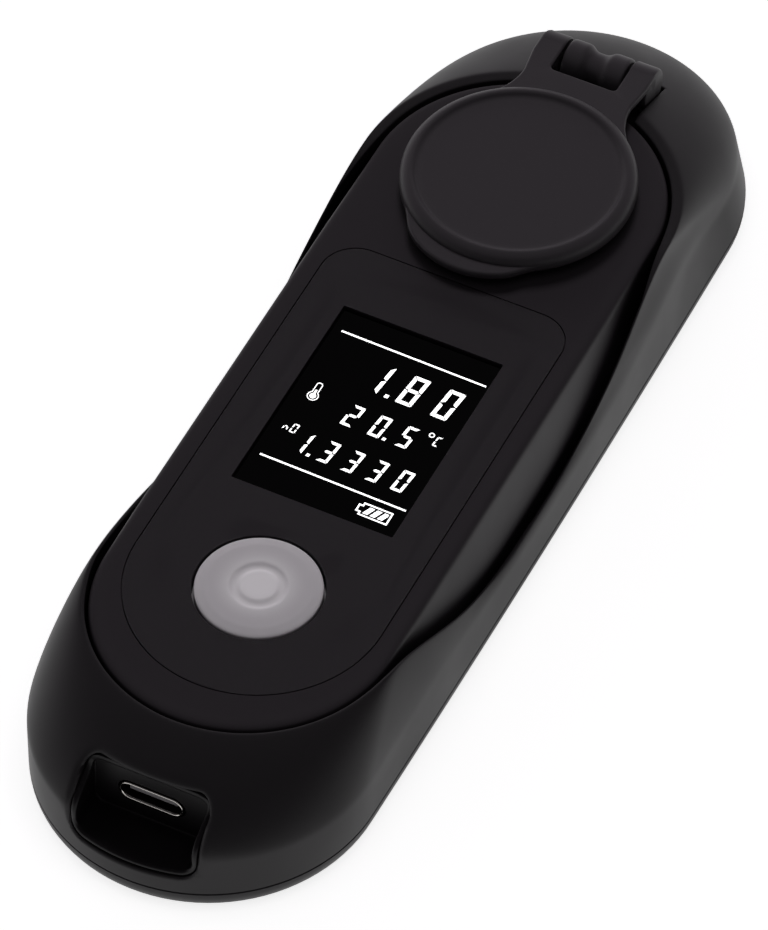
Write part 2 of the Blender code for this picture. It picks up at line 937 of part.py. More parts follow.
def make_front_overlay():
    """The film on the deck, with openings for the display and the button."""
    overlay = plate(
        "front_overlay", overlay_outline(film_gap), deck_height - overlay_thickness, deck_height,
        film_finish,
    )
    opening = box(
        "overlay_opening",
        (-display_half_width, display_near, deck_underside),
        (display_half_width, display_far, deck_height + cut_overrun),
    )
    hole = rod_guide(
        "overlay_hole",
        [((0, button_place, deck_underside), (0, button_place, deck_height + cut_overrun))],
        button_hole_radius, steps=round_steps,
    )
    return cut(overlay, opening, hole)


def make_display():
    """Window, panel, frame and flex, from the deck down to the main board."""
    box(
        "display_window",
        (-display_half_width + film_gap, display_near + film_gap, window_bottom),
        (display_half_width - film_gap, display_far - film_gap, window_top),
        window_finish,
    )
    side = frame_half_width - frame_wall
    reach = frame_half_length - frame_wall
    box(
        "display_panel",
        (-side, display_place - reach, panel_bottom),
        (side, display_place + reach, panel_top),
        window_finish,
    )
    frame_low = board_top + seat_gap
    frame = box(
        "display_frame",
        (-frame_half_width, display_place - frame_half_length, frame_low),
        (frame_half_width, display_place + frame_half_length, panel_bottom - seat_gap),
        black_plastic,
    )
    hollow = box(
        "frame_hollow",
        (-side, display_place - reach, frame_low - cut_overrun),
        (side, display_place + reach, panel_bottom - seat_gap - frame_wall),
    )
    cut(frame, hollow)
    flex_far = display_place - frame_half_length - seat_gap
    flex_near = flex_far - display_flex_thickness
    foot = flex_near - frame_wall
    low = board_top + seat_gap
    slab_along_x(
        "display_flex",
        [
            (foot, low), (flex_far, low), (flex_far, panel_top), (flex_near, panel_top),
            (flex_near, low + display_flex_thickness), (foot, low + display_flex_thickness),
        ],
        display_flex_half_width, flex_finish,
    )


# Main board, switch, button

def make_main_board():
    """The board with its narrow tongue to the USB socket, and what is soldered to it."""
    tongue = board_tongue_half_width
    neck = screw_near_place + boss_radius + seat_gap
    shoulder = neck + board_half_width - tongue
    outline = [
        (-tongue, board_near_edge), (tongue, board_near_edge), (tongue, neck),
        (board_half_width, shoulder), (board_half_width, board_far_edge),
        (-board_half_width, board_far_edge), (-board_half_width, shoulder), (-tongue, neck),
    ]
    board = plate("main_board", outline, board_bottom, board_top, board_finish)
    holes = rod_guide(
        "board_holes",
        [
            ((x, y, board_bottom - cut_overrun), (x, y, board_top + cut_overrun))
            for x, y in post_places()
        ],
        board_screw_shank_radius + seat_gap,
    )
    cut(board, holes)
    chip_low = board_top + seat_gap
    box(
        "processor_chip",
        (-processor_half_width, display_place - processor_half_width, chip_low),
        (processor_half_width, display_place + processor_half_width, chip_low + processor_height),
        black_plastic,
    )


def make_switch_and_button():
    """The tactile switch on the board, its plunger, and the rubber button above them."""
    switch_low = board_top + seat_gap
    switch_high = switch_low + switch_body_height
    switch = box(
        "tactile_switch",
        (-switch_half_width, button_place - switch_half_width, switch_low),
        (switch_half_width, button_place + switch_half_width, switch_high),
        black_plastic,
    )
    plunger_low = switch_high - switch_plunger_length / 2
    plunger_high = plunger_low + switch_plunger_length
    well = rod_guide(
        "plunger_well",
        [((0, button_place, plunger_low - button_travel - seat_gap), (0, button_place, plunger_high))],
        switch_plunger_radius + seat_gap,
    )
    cut(switch, well)
    plunger = turned(
        "switch_plunger",
        [(0, plunger_high), (switch_plunger_radius, plunger_high), (switch_plunger_radius, plunger_low),
         (0, plunger_low)],
        (0, button_place, 0), black_plastic, steps=small_round_steps,
    )
    top = deck_height + button_rise
    flange_top = deck_underside - seat_gap
    flange_low = flange_top - button_flange_thickness
    stem_low = plunger_high + seat_gap
    button = turned(
        "measuring_button",
        [
            (0, top),
            (button_nub_radius, top),
            (button_nub_radius + button_ring_depth, top - button_ring_depth),
            (button_ring_radius, top - button_ring_depth),
            (button_ring_radius + button_ring_depth * 2, top + button_ring_depth / 2),
            (button_radius * 0.82, top),
            (button_radius * 0.95, deck_height + button_rise / 2),
            (button_radius, deck_height),
            (button_radius, flange_top),
            (button_radius + button_flange, flange_top),
            (button_radius + button_flange, flange_low),
            (button_stem_radius, flange_low),
            (button_stem_radius, stem_low),
            (0, stem_low),
        ],
        (0, button_place, 0), button_finish,
    )
    hang(plunger, button_carrier)
    hang(button, button_carrier)


# Lid and hinge

def lid_outline():
    """The lid's flange: a circle with the thumb tab blended into it."""
    points = []
    count = round_steps * 3
    for step in range(count):
        angle = math.tau * step / count
        from_tab = (angle - (math.tau * 3 / 4 + lid_tab_turn) + math.pi) % math.tau - math.pi
        swell = max(0.0, 1 - (from_tab / lid_tab_half_angle) ** 2)
        radius = lid_radius + lid_tab_reach * swell
        points.append((radius * math.cos(angle), lid_place + radius * math.sin(angle)))
    return points


def yoke_outline():
    """The two arms from the lid to the hinge, with flared necks and the slot for the knuckle."""
    root = lid_place + lid_radius - hinge_neck_root
    right = []
    for step in range(corner_steps + 1):
        share = step / corner_steps
        half_width = hinge_neck_half_width + hinge_neck_flare * (1 - share) ** 2
        right.append((half_width, root + hinge_neck_length * share))
    slot_near = hinge_place - hinge_barrel_radius - hinge_arm_thickness
    right.append((hinge_half_width, slot_near + hinge_arm_thickness))
    right.append((hinge_half_width, hinge_place))
    right.append((hinge_slot_half_width, hinge_place))
    right.append((hinge_slot_half_width, slot_near))
    left = [(-x, y) for x, y in reversed(right)]
    return right + left


def make_lid():
    """The lid: flange with thumb tab, raised ring, sunk underside and two bored arms."""
    lid = plate("lid", lid_outline(), lid_under_height, lid_flange_top, casing_plastic)
    ring_in = lid_ring_radius - lid_ring_half_width
    ring_out = lid_ring_radius + lid_ring_half_width
    middle_low = lid_under_height + lid_flange_thickness / 2
    cap = turned(
        "lid_cap",
        [
            (0, lid_disc_height),
            (ring_in - lid_ring_half_width, lid_disc_height),
            (ring_in, lid_ring_height - lid_ring_half_width / 2),
            (lid_ring_radius, lid_ring_height),
            (ring_out, lid_ring_height - lid_ring_half_width),
            (ring_out + film_gap, middle_low),
            (0, middle_low),
        ],
        (0, lid_place, 0), steps=round_steps * 2,
    )
    yoke = plate("lid_yoke", yoke_outline(), hinge_arm_top - hinge_arm_thickness, hinge_arm_top)
    barrels = rod_guide(
        "arm_barrels",
        [
            ((side * hinge_slot_half_width, hinge_place, hinge_height),
             (side * hinge_half_width, hinge_place, hinge_height))
            for side in (-1, 1)
        ],
        hinge_barrel_radius, steps=round_steps,
    )
    join(lid, cap, yoke, barrels)
    hollow = turned(
        "lid_hollow",
        [(0, lid_recess_height), (lid_inner_radius, lid_recess_height),
         (lid_inner_radius, lid_under_height - cut_overrun), (0, lid_under_height - cut_overrun)],
        (0, lid_place, 0), steps=round_steps,
    )
    bore = rod_guide(
        "arm_bore",
        [((-hinge_half_width - cut_overrun, hinge_place, hinge_height),
          (hinge_half_width + cut_overrun, hinge_place, hinge_height))],
        hinge_pin_radius + hinge_pin_gap,
    )
    cut(lid, hollow, bore)
    seal_top = lid_recess_height - seat_gap
    seal_low = dish_rim_height + seat_gap
    seal_inner = lid_seal_outer_radius - lid_seal_width
    seal = turned(
        "lid_seal",
        [(seal_inner, seal_top), (lid_seal_outer_radius, seal_top),
         (lid_seal_outer_radius, seal_low), (seal_inner, seal_low)],
        (0, lid_place, 0), seal_rubber, ring=True,
    )
    hang(lid, lid_carrier)
    hang(seal, lid_carrier)


def make_hinge():
    """The bracket behind the casing, with its waisted knuckle, and the pin through it."""
    block = box(
        "hinge_bracket",
        (-hinge_half_width, casing_far_reach + seat_gap, bracket_height - bracket_depth),
        (hinge_half_width, hinge_rear_place - seat_gap, bracket_height - seat_gap),
        casing_plastic,
    )
    neck = box(
        "knuckle_neck",
        (
            -hinge_knuckle_half_width,
            hinge_place - hinge_barrel_radius / 2,
            bracket_height - bracket_depth / 2,
        ),
        (hinge_knuckle_half_width, hinge_place + hinge_barrel_radius * 0.9, hinge_height),
    )
    waist = hinge_barrel_radius - hinge_waist_depth
    knuckle = turned(
        "knuckle",
        [
            (0, hinge_knuckle_half_width),
            (hinge_barrel_radius, hinge_knuckle_half_width),
            (hinge_barrel_radius, hinge_waist_half_width + hinge_waist_depth),
            (waist, hinge_waist_half_width / 2),
            (waist, -hinge_waist_half_width / 2),
            (hinge_barrel_radius, -hinge_waist_half_width - hinge_waist_depth),
            (hinge_barrel_radius, -hinge_knuckle_half_width),
            (0, -hinge_knuckle_half_width),
        ],
        (0, hinge_place, hinge_height), turn=(0, math.pi / 2, 0), steps=round_steps,
    )
    bore = rod_guide(
        "knuckle_bore",
        [
            ((-hinge_half_width, hinge_place, hinge_height),
             (hinge_half_width, hinge_place, hinge_height))
        ],
        hinge_pin_radius + hinge_pin_gap,
    )
    join(block, neck, knuckle)
    cut(block, bore)
    rod(
        "hinge_pin",
        (-hinge_half_width, hinge_place, hinge_height),
        (hinge_half_width, hinge_place, hinge_height),
        hinge_pin_radius, steel,
    )


# Sample dish and optics

def make_dish():
    """The steel dish that the sample is dropped in, and its seal."""
    rim_in = dish_radius - dish_rim_width
    opening = prism_radius + seat_gap
    under = dish_rim_height - dish_rim_thickness
    turned(
        "sample_dish",
        [
            (opening, dish_floor_height),
            (rim_in, dish_rim_height - dish_rim_thickness),
            (rim_in + dish_rim_thickness, dish_rim_height),
            (dish_radius, dish_rim_height),
            (dish_radius, under),
            (dish_skirt_radius, under),
            (dish_skirt_radius, deck_underside),
            (dish_skirt_radius - dish_skirt_wall, deck_underside),
            (dish_skirt_radius - dish_skirt_wall, under - dish_floor_thickness * 1.5),
            (opening, dish_floor_height - dish_floor_thickness),
        ],
        (0, lid_place, 0), steel, ring=True, steps=round_steps,
    )
    seal_high = deck_underside - seat_gap
    seal_low = optics_height + seat_gap
    outer = dish_skirt_radius + seat_gap
    inner = outer - dish_seal_thickness * 1.5
    chamfer = (seal_high - seal_low) / 4
    turned(
        "dish_seal",
        [
            (inner + chamfer, seal_high), (outer - chamfer, seal_high), (outer, seal_high - chamfer),
            (outer, seal_low + chamfer), (outer - chamfer, seal_low), (inner + chamfer, seal_low),
            (inner, seal_low + chamfer), (inner, seal_high - chamfer),
        ],
        (0, lid_place, 0), seal_rubber, ring=True, steps=round_steps,
    )


def light_path(side):
    """The middle of a slanted face of the optics block, and the direction out of it."""
    middle = Vector((
        0,
        lid_place + side * (optics_half_length + optics_foot_half_length) / 2,
        (optics_side_height + optics_knee_height) / 2,
    ))
    return middle, Vector((0, side, -1)).normalized()


def make_optics():
    """The block under the prism, with a lamp on one slanted face and a sensor on the other."""
    reach, foot = optics_half_length, optics_foot_half_length
    shape = [
        (-foot, casing_bottom), (foot, casing_bottom), (foot, optics_knee_height),
        (reach, optics_side_height), (reach, optics_height), (-reach, optics_height),
        (-reach, optics_side_height), (-foot, optics_knee_height),
    ]
    outline = [(lid_place + y, z) for y, z in shape]
    block = slab_along_x("optics_block", outline, optics_half_width, black_plastic)
    prism_low = dish_floor_height - prism_length
    well = rod_guide(
        "prism_well",
        [((0, lid_place, prism_low - seat_gap), (0, lid_place, optics_height + cut_overrun))],
        prism_radius + seat_gap, steps=round_steps,
    )
    paths = {side: light_path(side) for side in (-1, 1)}
    bores = [
        rod_guide(
            name, [(middle + out * cut_overrun, middle - out * light_bore_length)], light_bore_radius,
        )
        for name, (middle, out) in zip(("lamp_bore", "sensor_bore"), paths.values())
    ]
    sense_hole = rod_guide(
        "thermistor_hole",
        [
            ((thermistor_place, lid_place, optics_height - thermistor_length),
             (thermistor_place, lid_place, optics_height + cut_overrun))
        ],
        thermistor_radius + seat_gap,
    )
    cut(block, well, *bores, sense_hole)
    prism = rod(
        "prism", (0, lid_place, prism_low), (0, lid_place, dish_floor_height),
        prism_radius, glass, steps=round_steps,
    )
    wedge_reach = prism_radius + cut_overrun
    wedge = slab_along_x(
        "prism_wedge",
        [
            (lid_place, prism_low), (lid_place + wedge_reach, prism_low + wedge_reach / 2),
            (lid_place + wedge_reach, dish_floor_height + cut_overrun),
            (lid_place - wedge_reach, dish_floor_height + cut_overrun),
            (lid_place - wedge_reach, prism_low + wedge_reach / 2),
        ],
        wedge_reach,
    )
    combine(prism, wedge, "INTERSECT")
    rod(
        "thermistor",
        (thermistor_place, lid_place, optics_height - thermistor_length + seat_gap),
        (thermistor_place, lid_place, optics_height + seat_gap * 2),
        thermistor_radius, black_plastic,
    )
    make_optics_boards(paths)


def make_optics_boards(paths):
    """The lamp and the sensor, each on its small board against the block's slanted faces."""
    for side, board_name in ((-1, "lamp_board"), (1, "sensor_board")):
        middle, out = paths[side]
        centre = middle + out * (seat_gap + optics_board_thickness / 2 + sensor_thickness)
        reach = Vector((optics_board_half_length, optics_board_half_width, optics_board_thickness / 2))
        box(board_name, centre - reach, centre + reach, board_finish, out)
    middle, out = paths[-1]
    foot = middle + out * sensor_thickness
    rod("lamp", foot, foot - out * lamp_length, lamp_radius, glass)
    middle, out = paths[1]
    centre = middle + out * (sensor_thickness + seat_gap) / 2
    reach = Vector((sensor_half_width, sensor_half_length, (sensor_thickness - seat_gap) / 2))
    box("line_sensor", centre - reach, centre + reach, black_plastic, out)
    lens_low = middle - out * (lens_thickness + seat_gap)
    rod("focus_lens", lens_low, lens_low - out * lens_thickness, lens_radius, glass)


# USB socket and its pocket

def make_usb():
    """The socket's plated shell, its contact tongue, and the pocket that it opens into."""
    face = -usb_face_place
    shell = slab_along_y(
        "usb_connector",
        rounded_rectangle(usb_half_width, usb_half_height, usb_half_height * 0.95, (0.0, usb_height)),
        face, face + usb_length, plated,
    )
    inside = slab_along_y(
        "usb_inside",
        rounded_rectangle(
            usb_half_width - usb_shell, usb_half_height - usb_shell,
            (usb_half_height - usb_shell) * 0.95, (0.0, usb_height),
        ),
        face - cut_overrun, face + usb_length + cut_overrun,
    )
    cut(shell, inside)
    block_near = face + usb_length - usb_block_length
    tongue = box(
        "usb_tongue",
        (-usb_tongue_half_width, face + usb_tongue_setback, usb_height - usb_tongue_half_thickness),
        (
            usb_tongue_half_width,
            block_near + usb_block_length / 2,
            usb_height + usb_tongue_half_thickness,
        ),
        black_plastic,
    )
    room = usb_shell + film_gap
    block = slab_along_y(
        "usb_block",
        rounded_rectangle(
            usb_half_width - room, usb_half_height - room, (usb_half_height - room) * 0.9,
            (0.0, usb_height),
        ),
        block_near, face + usb_length,
    )
    join(tongue, block)
    back = -(pocket_back_place - pocket_back_thickness)
    bezel = slab_along_y("usb_bezel", pocket_outline(pocket_wall), -body_length, back, casing_plastic)
    pocket = slab_along_y(
        "pocket_room", pocket_outline(0), -body_length - cut_overrun, -pocket_back_place
    )
    socket_hole = slab_along_y(
        "socket_hole",
        rounded_rectangle(
            usb_half_width + seat_gap, usb_half_height + seat_gap, usb_half_height, (0.0, usb_height)
        ),
        -pocket_back_place - cut_overrun, back + cut_overrun,
    )
    envelope_rings = [
        [
            Vector((point.x, point.y + pocket_setback, point.z - pocket_setback))
            for point in shoulder_ring(step, 0)
        ]
        for step in range(shoulder_steps + 1)
    ]
    foot = [
        Vector((point.x, point.y + pocket_setback, 0))
        for point in body_ring(body_half_width, 0)
    ]
    envelope = lofted("sleeve_envelope", [foot] + envelope_rings)
    combine(bezel, envelope, "INTERSECT")
    cut(bezel, pocket, socket_hole)


# Battery and leads

def make_battery():
    """The cell under the board, the pad under it, and its two leads."""
    pad_low = floor_thickness + seat_gap
    far = screw_near_place + screw_pad_radius + battery_length + boss_radius
    near = far - battery_length
    box("battery_pad", (-battery_half_width, near, pad_low),
        (battery_half_width, far, pad_low + battery_pad_thickness), foam)
    cell = box("battery_cell", (-battery_half_width, near, battery_low),
               (battery_half_width, far, battery_low + battery_thickness), cell_wrap)
    bevelled(cell, battery_thickness / 4)
    start_height = battery_low + battery_thickness / 2
    end_height = board_bottom - seat_gap
    for side, name, surface in (
        (-1, "battery_lead_positive", lead_red), (1, "battery_lead_negative", lead_black)
    ):
        curve = bpy.data.curves.new(name, "CURVE")
        curve.dimensions = "3D"
        curve.bevel_depth = lead_radius
        curve.bevel_resolution = 2
        curve.use_fill_caps = True
        spline = curve.splines.new("POLY")
        bend_centre = Vector((side * lead_side_place, near - lead_bend, start_height + lead_bend))
        points = [Vector((side * lead_side_place, near - seat_gap, start_height))]
        for step in range(corner_steps + 1):
            angle = math.pi / 2 * step / corner_steps
            points.append(bend_centre + Vector((0, -math.sin(angle), -math.cos(angle))) * lead_bend)
        points.append(Vector((points[-1].x, points[-1].y, end_height)))
        spline.points.add(len(points) - 1)
        for place, point in zip(spline.points, points):
            place.co = (*point, 1)
        keep(bpy.data.objects.new(name, curve), surface)


# Screws

def make_screws():
    """Four screws from below through the tray, and four that hold the board to its posts."""
    tip = screw_shoulder + screw_length
    for number, (x, y) in enumerate(screw_places(), 1):
        turned(
            f"housing_screw_{number}",
            [
                (0, tip), (screw_shank_radius, tip), (screw_shank_radius, screw_shoulder),
                (screw_head_radius, screw_shoulder), (screw_head_radius, screw_head_sink),
                (0, screw_head_sink),
            ],
            (x, y, 0), steel, steps=small_round_steps,
        )
    head_top = board_bottom - board_screw_room
    head_low = head_top - board_screw_head_height
    tip = head_top + board_screw_length
    for number, (x, y) in enumerate(post_places(), 1):
        turned(
            f"board_screw_{number}",
            [
                (0, tip), (board_screw_shank_radius, tip), (board_screw_shank_radius, head_top),
                (board_screw_head_radius, head_top), (board_screw_head_radius, head_low),
                (0, head_low),
            ],
            (x, y, 0), steel, steps=small_round_steps,
        )


make_lower_housing()
make_outer_sleeve()
make_upper_casing()
make_front_overlay()
make_display()
make_main_board()
make_switch_and_button()
make_lid()
make_hinge()
make_dish()
make_optics()
make_usb()
make_battery()
make_screws()
bpy.context.view_layer.update()
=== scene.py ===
"""Digital refractometer: what is seen of it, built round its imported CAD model.

Metres throughout, +Z up out of the deck and +Y along the body towards the lid's hinge.
The file follows the instrument from the outside in: each section makes one piece or one group.
"""

import math

import bmesh
import bpy
import numpy as np
from mathutils import Euler, Matrix, Vector
from mathutils.bvhtree import BVHTree


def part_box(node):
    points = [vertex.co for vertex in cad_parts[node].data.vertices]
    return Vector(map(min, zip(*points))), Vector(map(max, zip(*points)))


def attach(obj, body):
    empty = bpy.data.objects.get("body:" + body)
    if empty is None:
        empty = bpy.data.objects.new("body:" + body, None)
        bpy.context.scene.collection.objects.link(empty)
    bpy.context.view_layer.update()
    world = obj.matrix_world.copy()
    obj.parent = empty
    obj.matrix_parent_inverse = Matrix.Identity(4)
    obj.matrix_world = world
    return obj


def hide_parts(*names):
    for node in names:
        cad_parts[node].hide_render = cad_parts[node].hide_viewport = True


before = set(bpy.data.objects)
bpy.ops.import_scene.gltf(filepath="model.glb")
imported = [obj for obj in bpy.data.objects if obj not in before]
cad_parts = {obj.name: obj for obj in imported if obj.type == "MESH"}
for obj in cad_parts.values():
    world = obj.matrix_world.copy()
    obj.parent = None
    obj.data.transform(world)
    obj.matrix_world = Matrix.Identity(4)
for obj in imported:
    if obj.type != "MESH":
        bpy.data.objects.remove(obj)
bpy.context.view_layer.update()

# Camera.
# A long lens high over the right near corner, so far away that the body hardly narrows
# towards its far end. Place, turn and lens were solved from the round and straight edges.

camera_turn = math.radians(26.34)
camera_lift = math.radians(49.86)
camera_place = (0.3060, -0.62195, 0.8248)


def placed(name, data):
    """A new object in the scene."""
    item = bpy.data.objects.new(name, data)
    bpy.context.scene.collection.objects.link(item)
    return item


lens = bpy.data.cameras.new("camera")
lens.sensor_width = 36
lens.lens = 321.1
lens.clip_start = 0.01
camera = placed("camera", lens)
camera.matrix_world = (
    Matrix.Translation(camera_place)
    @ Euler((math.pi / 2 - camera_lift, 0, camera_turn)).to_matrix().to_4x4()
)
bpy.context.scene.camera = camera

# Studio.
# An opal table, faintly lit from below, under a tent: its walls are bright and its roof is dark,
# so flat black plastic stays black and every turned-away flank picks up a soft grey edge.


def linear(code):
    """The linear colour that a hex value stands for."""
    channels = [int(code[place:place + 2], 16) / 255 for place in (1, 3, 5)]
    return [c / 12.92 if c <= 0.04045 else ((c + 0.055) / 1.055) ** 2.4 for c in channels] + [1.0]


def add_node(tree, kind, values=None, links=None, **settings):
    """Add a node: settings are its own, values fill its sockets and links feed them."""
    node = tree.nodes.new(kind)
    for name, value in settings.items():
        setattr(node, name, value)
    for name, value in (values or {}).items():
        node.inputs[name].default_value = value
    for name, source in (links or {}).items():
        tree.links.new(source, node.inputs[name])
    return node


def new_finish(name, colour, **sockets):
    """A material with one shader, its base colour and any other sockets, named in plain words."""
    finish = bpy.data.materials.new(name)
    finish.use_nodes = True
    shader = finish.node_tree.nodes["Principled BSDF"]
    shader.inputs["Base Color"].default_value = linear(colour)
    for socket, value in sockets.items():
        shader.inputs[socket.replace("_", " ")].default_value = value
    return finish


table_reach = 4.0
table_clearance = 0.00005
left_wall_place, left_wall_light = -0.7, 0.90
right_wall_place, right_wall_light = 0.5, 0.26
wall_top_share = 0.05
roof_start_share = 0.45
roof_light = 0.09
roof_tilt = 0.20

opal = new_finish(
    "backlit_opal_table", "#f7f7f7", Roughness=0.9, Specular_IOR_Level=0.0,
    Emission_Color=(1, 1, 1, 1), Emission_Strength=0.8,
)
table_mesh = bpy.data.meshes.new("table")
table_mesh.from_pydata([
    (side * table_reach, end * table_reach, -table_clearance)
    for side, end in ((-1, -1), (1, -1), (1, 1), (-1, 1))
], [], [(0, 1, 2, 3)])
table_mesh.materials.append(opal)
table = placed("table", table_mesh)

tent = bpy.data.worlds.new("tent")
bpy.context.scene.world = tent
tent.use_nodes = True
sky = tent.node_tree
direction = add_node(sky, "ShaderNodeTexCoord").outputs["Generated"]
parts = add_node(sky, "ShaderNodeSeparateXYZ", links={"Vector": direction}).outputs
wall_tone = add_node(sky, "ShaderNodeMapRange", {
    "From Min": left_wall_place, "From Max": right_wall_place,
    "To Min": left_wall_light, "To Max": right_wall_light,
}, {"Value": parts["X"]}, interpolation_type="SMOOTHSTEP").outputs["Result"]
height_share = add_node(
    sky, "ShaderNodeMath", {1: -roof_tilt}, {0: parts["Y"], 2: parts["Z"]},
    operation="MULTIPLY_ADD",
).outputs["Value"]
tone = add_node(sky, "ShaderNodeMapRange", {
    "From Min": wall_top_share, "From Max": roof_start_share, "To Max": roof_light,
}, {"Value": height_share, "To Min": wall_tone}, interpolation_type="SMOOTHSTEP").outputs["Result"]
sky.links.new(tone, sky.nodes["Background"].inputs["Strength"])
sky.nodes["Background"].inputs["Color"].default_value = (1.0, 0.94, 1.0, 1)


def add_softbox(name, place, width, power):
    """A square light that faces the instrument and leaves no mirror image in its gloss."""
    lamp_data = bpy.data.lights.new(name, "AREA")
    lamp_data.size = width
    lamp_data.energy = power
    softbox = placed(name, lamp_data)
    softbox.location = place
    softbox.rotation_euler = Vector(place).to_track_quat("Z", "Y").to_euler()
    softbox.visible_glossy = False
    return softbox


add_softbox("top_light", (0.2, -0.3, 2.0), 1.4, 6.0)
back_light = add_softbox("back_light", (-0.38, 0.85, 1.35), 0.5, 22.0)
flagged = bpy.data.collections.new("kept_off_by_a_flag")
flagged.objects.link(table)
flagged.collection_objects[0].light_linking.link_state = "EXCLUDE"
back_light.light_linking.receiver_collection = flagged
bpy.context.scene.view_settings.view_transform = "Standard"

# Soft-touch coat, on the lower housing and the outer sleeve.
# Thin rubbery paint over moulded ABS: very dark grey, matt, with the grain of sprayed droplets
# 0.15 mm across and a velvety lift towards grazing view. Finer grain would not show.

wear_patch = 0.01667


def feed(finish, socket, source):
    """Lead a node's output into a socket of the finish's shader."""
    tree = finish.node_tree
    tree.links.new(source, tree.nodes["Principled BSDF"].inputs[socket])


def add_grain(finish, width, depth, strength=0.5, roughness=None):
    """Bumps of one width and depth all over, and a roughness that varies from patch to patch."""
    tree = finish.node_tree
    place = add_node(tree, "ShaderNodeTexCoord").outputs["Object"]
    spots = add_node(
        tree, "ShaderNodeTexNoise", {"Scale": 1 / width, "Detail": 2.0, "Roughness": 0.6},
        {"Vector": place},
    ).outputs["Fac"]
    feed(finish, "Normal", add_node(
        tree, "ShaderNodeBump", {"Strength": strength, "Distance": depth}, {"Height": spots},
    ).outputs["Normal"])
    if roughness:
        worn = add_node(
            tree, "ShaderNodeTexNoise", {"Scale": 1 / wear_patch, "Detail": 3.0}, {"Vector": place},
        ).outputs["Fac"]
        feed(finish, "Roughness", add_node(tree, "ShaderNodeMapRange", {
            "From Min": 0.3, "From Max": 0.7, "To Min": roughness[0], "To Max": roughness[1],
        }, {"Value": worn}).outputs["Result"])


soft_touch = new_finish("soft_touch_painted_abs", "#181618", IOR=1.28)
add_grain(soft_touch, width=0.00015, depth=0.000006, roughness=(0.42, 0.52))

# Lower housing.
# The moulded tray that the instrument lies on: a flat floor, a soft lower edge and a low wall
# that ends in the parting line. Four screw sinks and a bare, slightly sunk place for a plate.

body_half_width = 0.0229
body_bulge = 0.00035
body_length = 0.1520
body_centre = body_length / 2 - body_half_width
parting_height = 0.0037
parting_edge = 0.0002
edge_height = 0.0025
edge_inset = 0.0022
tray_wall = 0.0020
sharp_angle = math.radians(32)


def walk_round(arc_steps, side_steps):
    """Outward directions round a stadium, each with its share of the way from near to far end."""
    walk = []
    for end, share in ((math.pi, 0.0), (0.0, 1.0)):
        for step in range(arc_steps + 1):
            angle = end + math.pi * step / arc_steps
            walk.append((math.cos(angle), math.sin(angle), share))
        for step in range(1, side_steps):
            along = step / side_steps
            walk.append((1.0, 0.0, along) if share == 0 else (-1.0, 0.0, 1 - along))
    return walk


def plan_point(station, near_centre, far_centre, radius):
    """A station's place in plan, on a stadium between two centres."""
    out_x, out_y, share = station
    return out_x * radius, near_centre + (far_centre - near_centre) * share + out_y * radius


def body_point(station, radius, height):
    """A point on the body's outline, whose long sides bulge a little."""
    bulge = body_bulge * 4 * station[2] * (1 - station[2])
    return (*plan_point(station, -body_centre, body_centre, radius + bulge), height)


def evenly_spaced(points, count):
    """The same line of points, evenly spaced."""
    points = np.array(points, float)
    steps = np.linalg.norm(np.diff(points, axis=0), axis=1)
    travelled = np.concatenate([[0.0], np.cumsum(steps)])
    places = np.linspace(0, travelled[-1], count)
    return np.column_stack([np.interp(places, travelled, column) for column in points.T])


def eased(points, rounds):
    """The same line with its corners softened and its ends where they are."""
    for _ in range(rounds):
        middle = (points[:-2] + points[2:]) / 2
        points[1:-1] += (middle - points[1:-1]) * 0.5
    return points


def skinned(sections, ring=True, capped=False):
    """A skin over sections that follow each other in a circle; in a ring each one is closed."""
    shape = bmesh.new()
    rows = [[shape.verts.new(tuple(point)) for point in section] for section in sections]
    for row, after in zip(rows, rows[1:] + rows[:1]):
        pairs = list(zip(row, row[1:], after, after[1:]))
        if ring:
            pairs.append((row[-1], row[0], after[-1], after[0]))
        for a, b, c, d in pairs:
            shape.faces.new((a, b, d, c))
    if capped:
        shape.faces.new([row[0] for row in rows])
        shape.faces.new([row[-1] for row in rows])
    bmesh.ops.recalc_face_normals(shape, faces=shape.faces)
    return shape


def as_piece(name, shape):
    """An object made of a bmesh, linked to the scene."""
    mesh = bpy.data.meshes.new(name)
    shape.to_mesh(mesh)
    shape.free()
    return placed(name, mesh)


def carved(piece, *tools, operation="DIFFERENCE"):
    """Cut a piece with tools, or join them to it, and keep the resulting mesh."""
    for tool in tools:
        step = piece.modifiers.new("carve", "BOOLEAN")
        step.operation = operation
        step.solver = "EXACT"
        step.object = tool
    settled = piece.evaluated_get(bpy.context.evaluated_depsgraph_get())
    mesh = bpy.data.meshes.new_from_object(settled)
    piece.modifiers.clear()
    piece.data = mesh
    for tool in tools:
        bpy.data.objects.remove(tool)
    return piece


def finished(piece, finish, body, slot, *nodes):
    """Smooth a piece, give it its finish and body, and hide the CAD nodes it stands for."""
    piece.data.materials.clear()
    piece.data.materials.append(finish)
    piece.data.shade_smooth()
    piece.data.set_sharp_from_angle(angle=sharp_angle)
    even = piece.modifiers.new("even_shading", "WEIGHTED_NORMAL")
    even.keep_sharp = True
    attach(piece, body)
    if nodes:
        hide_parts(*nodes)
    return piece


def round_bar(name, ends, radius):
    """One or more round bars, each between two points."""
    shape = bmesh.new()
    for start, end in ends:
        start, end = Vector(start), Vector(end)
        turn = (end - start).to_track_quat("Z", "Y").to_matrix().to_4x4()
        bmesh.ops.create_cone(
            shape, cap_ends=True, segments=48, radius1=radius, radius2=radius,
            depth=(end - start).length, matrix=Matrix.Translation((start + end) / 2) @ turn,
        )
    return as_piece(name, shape)


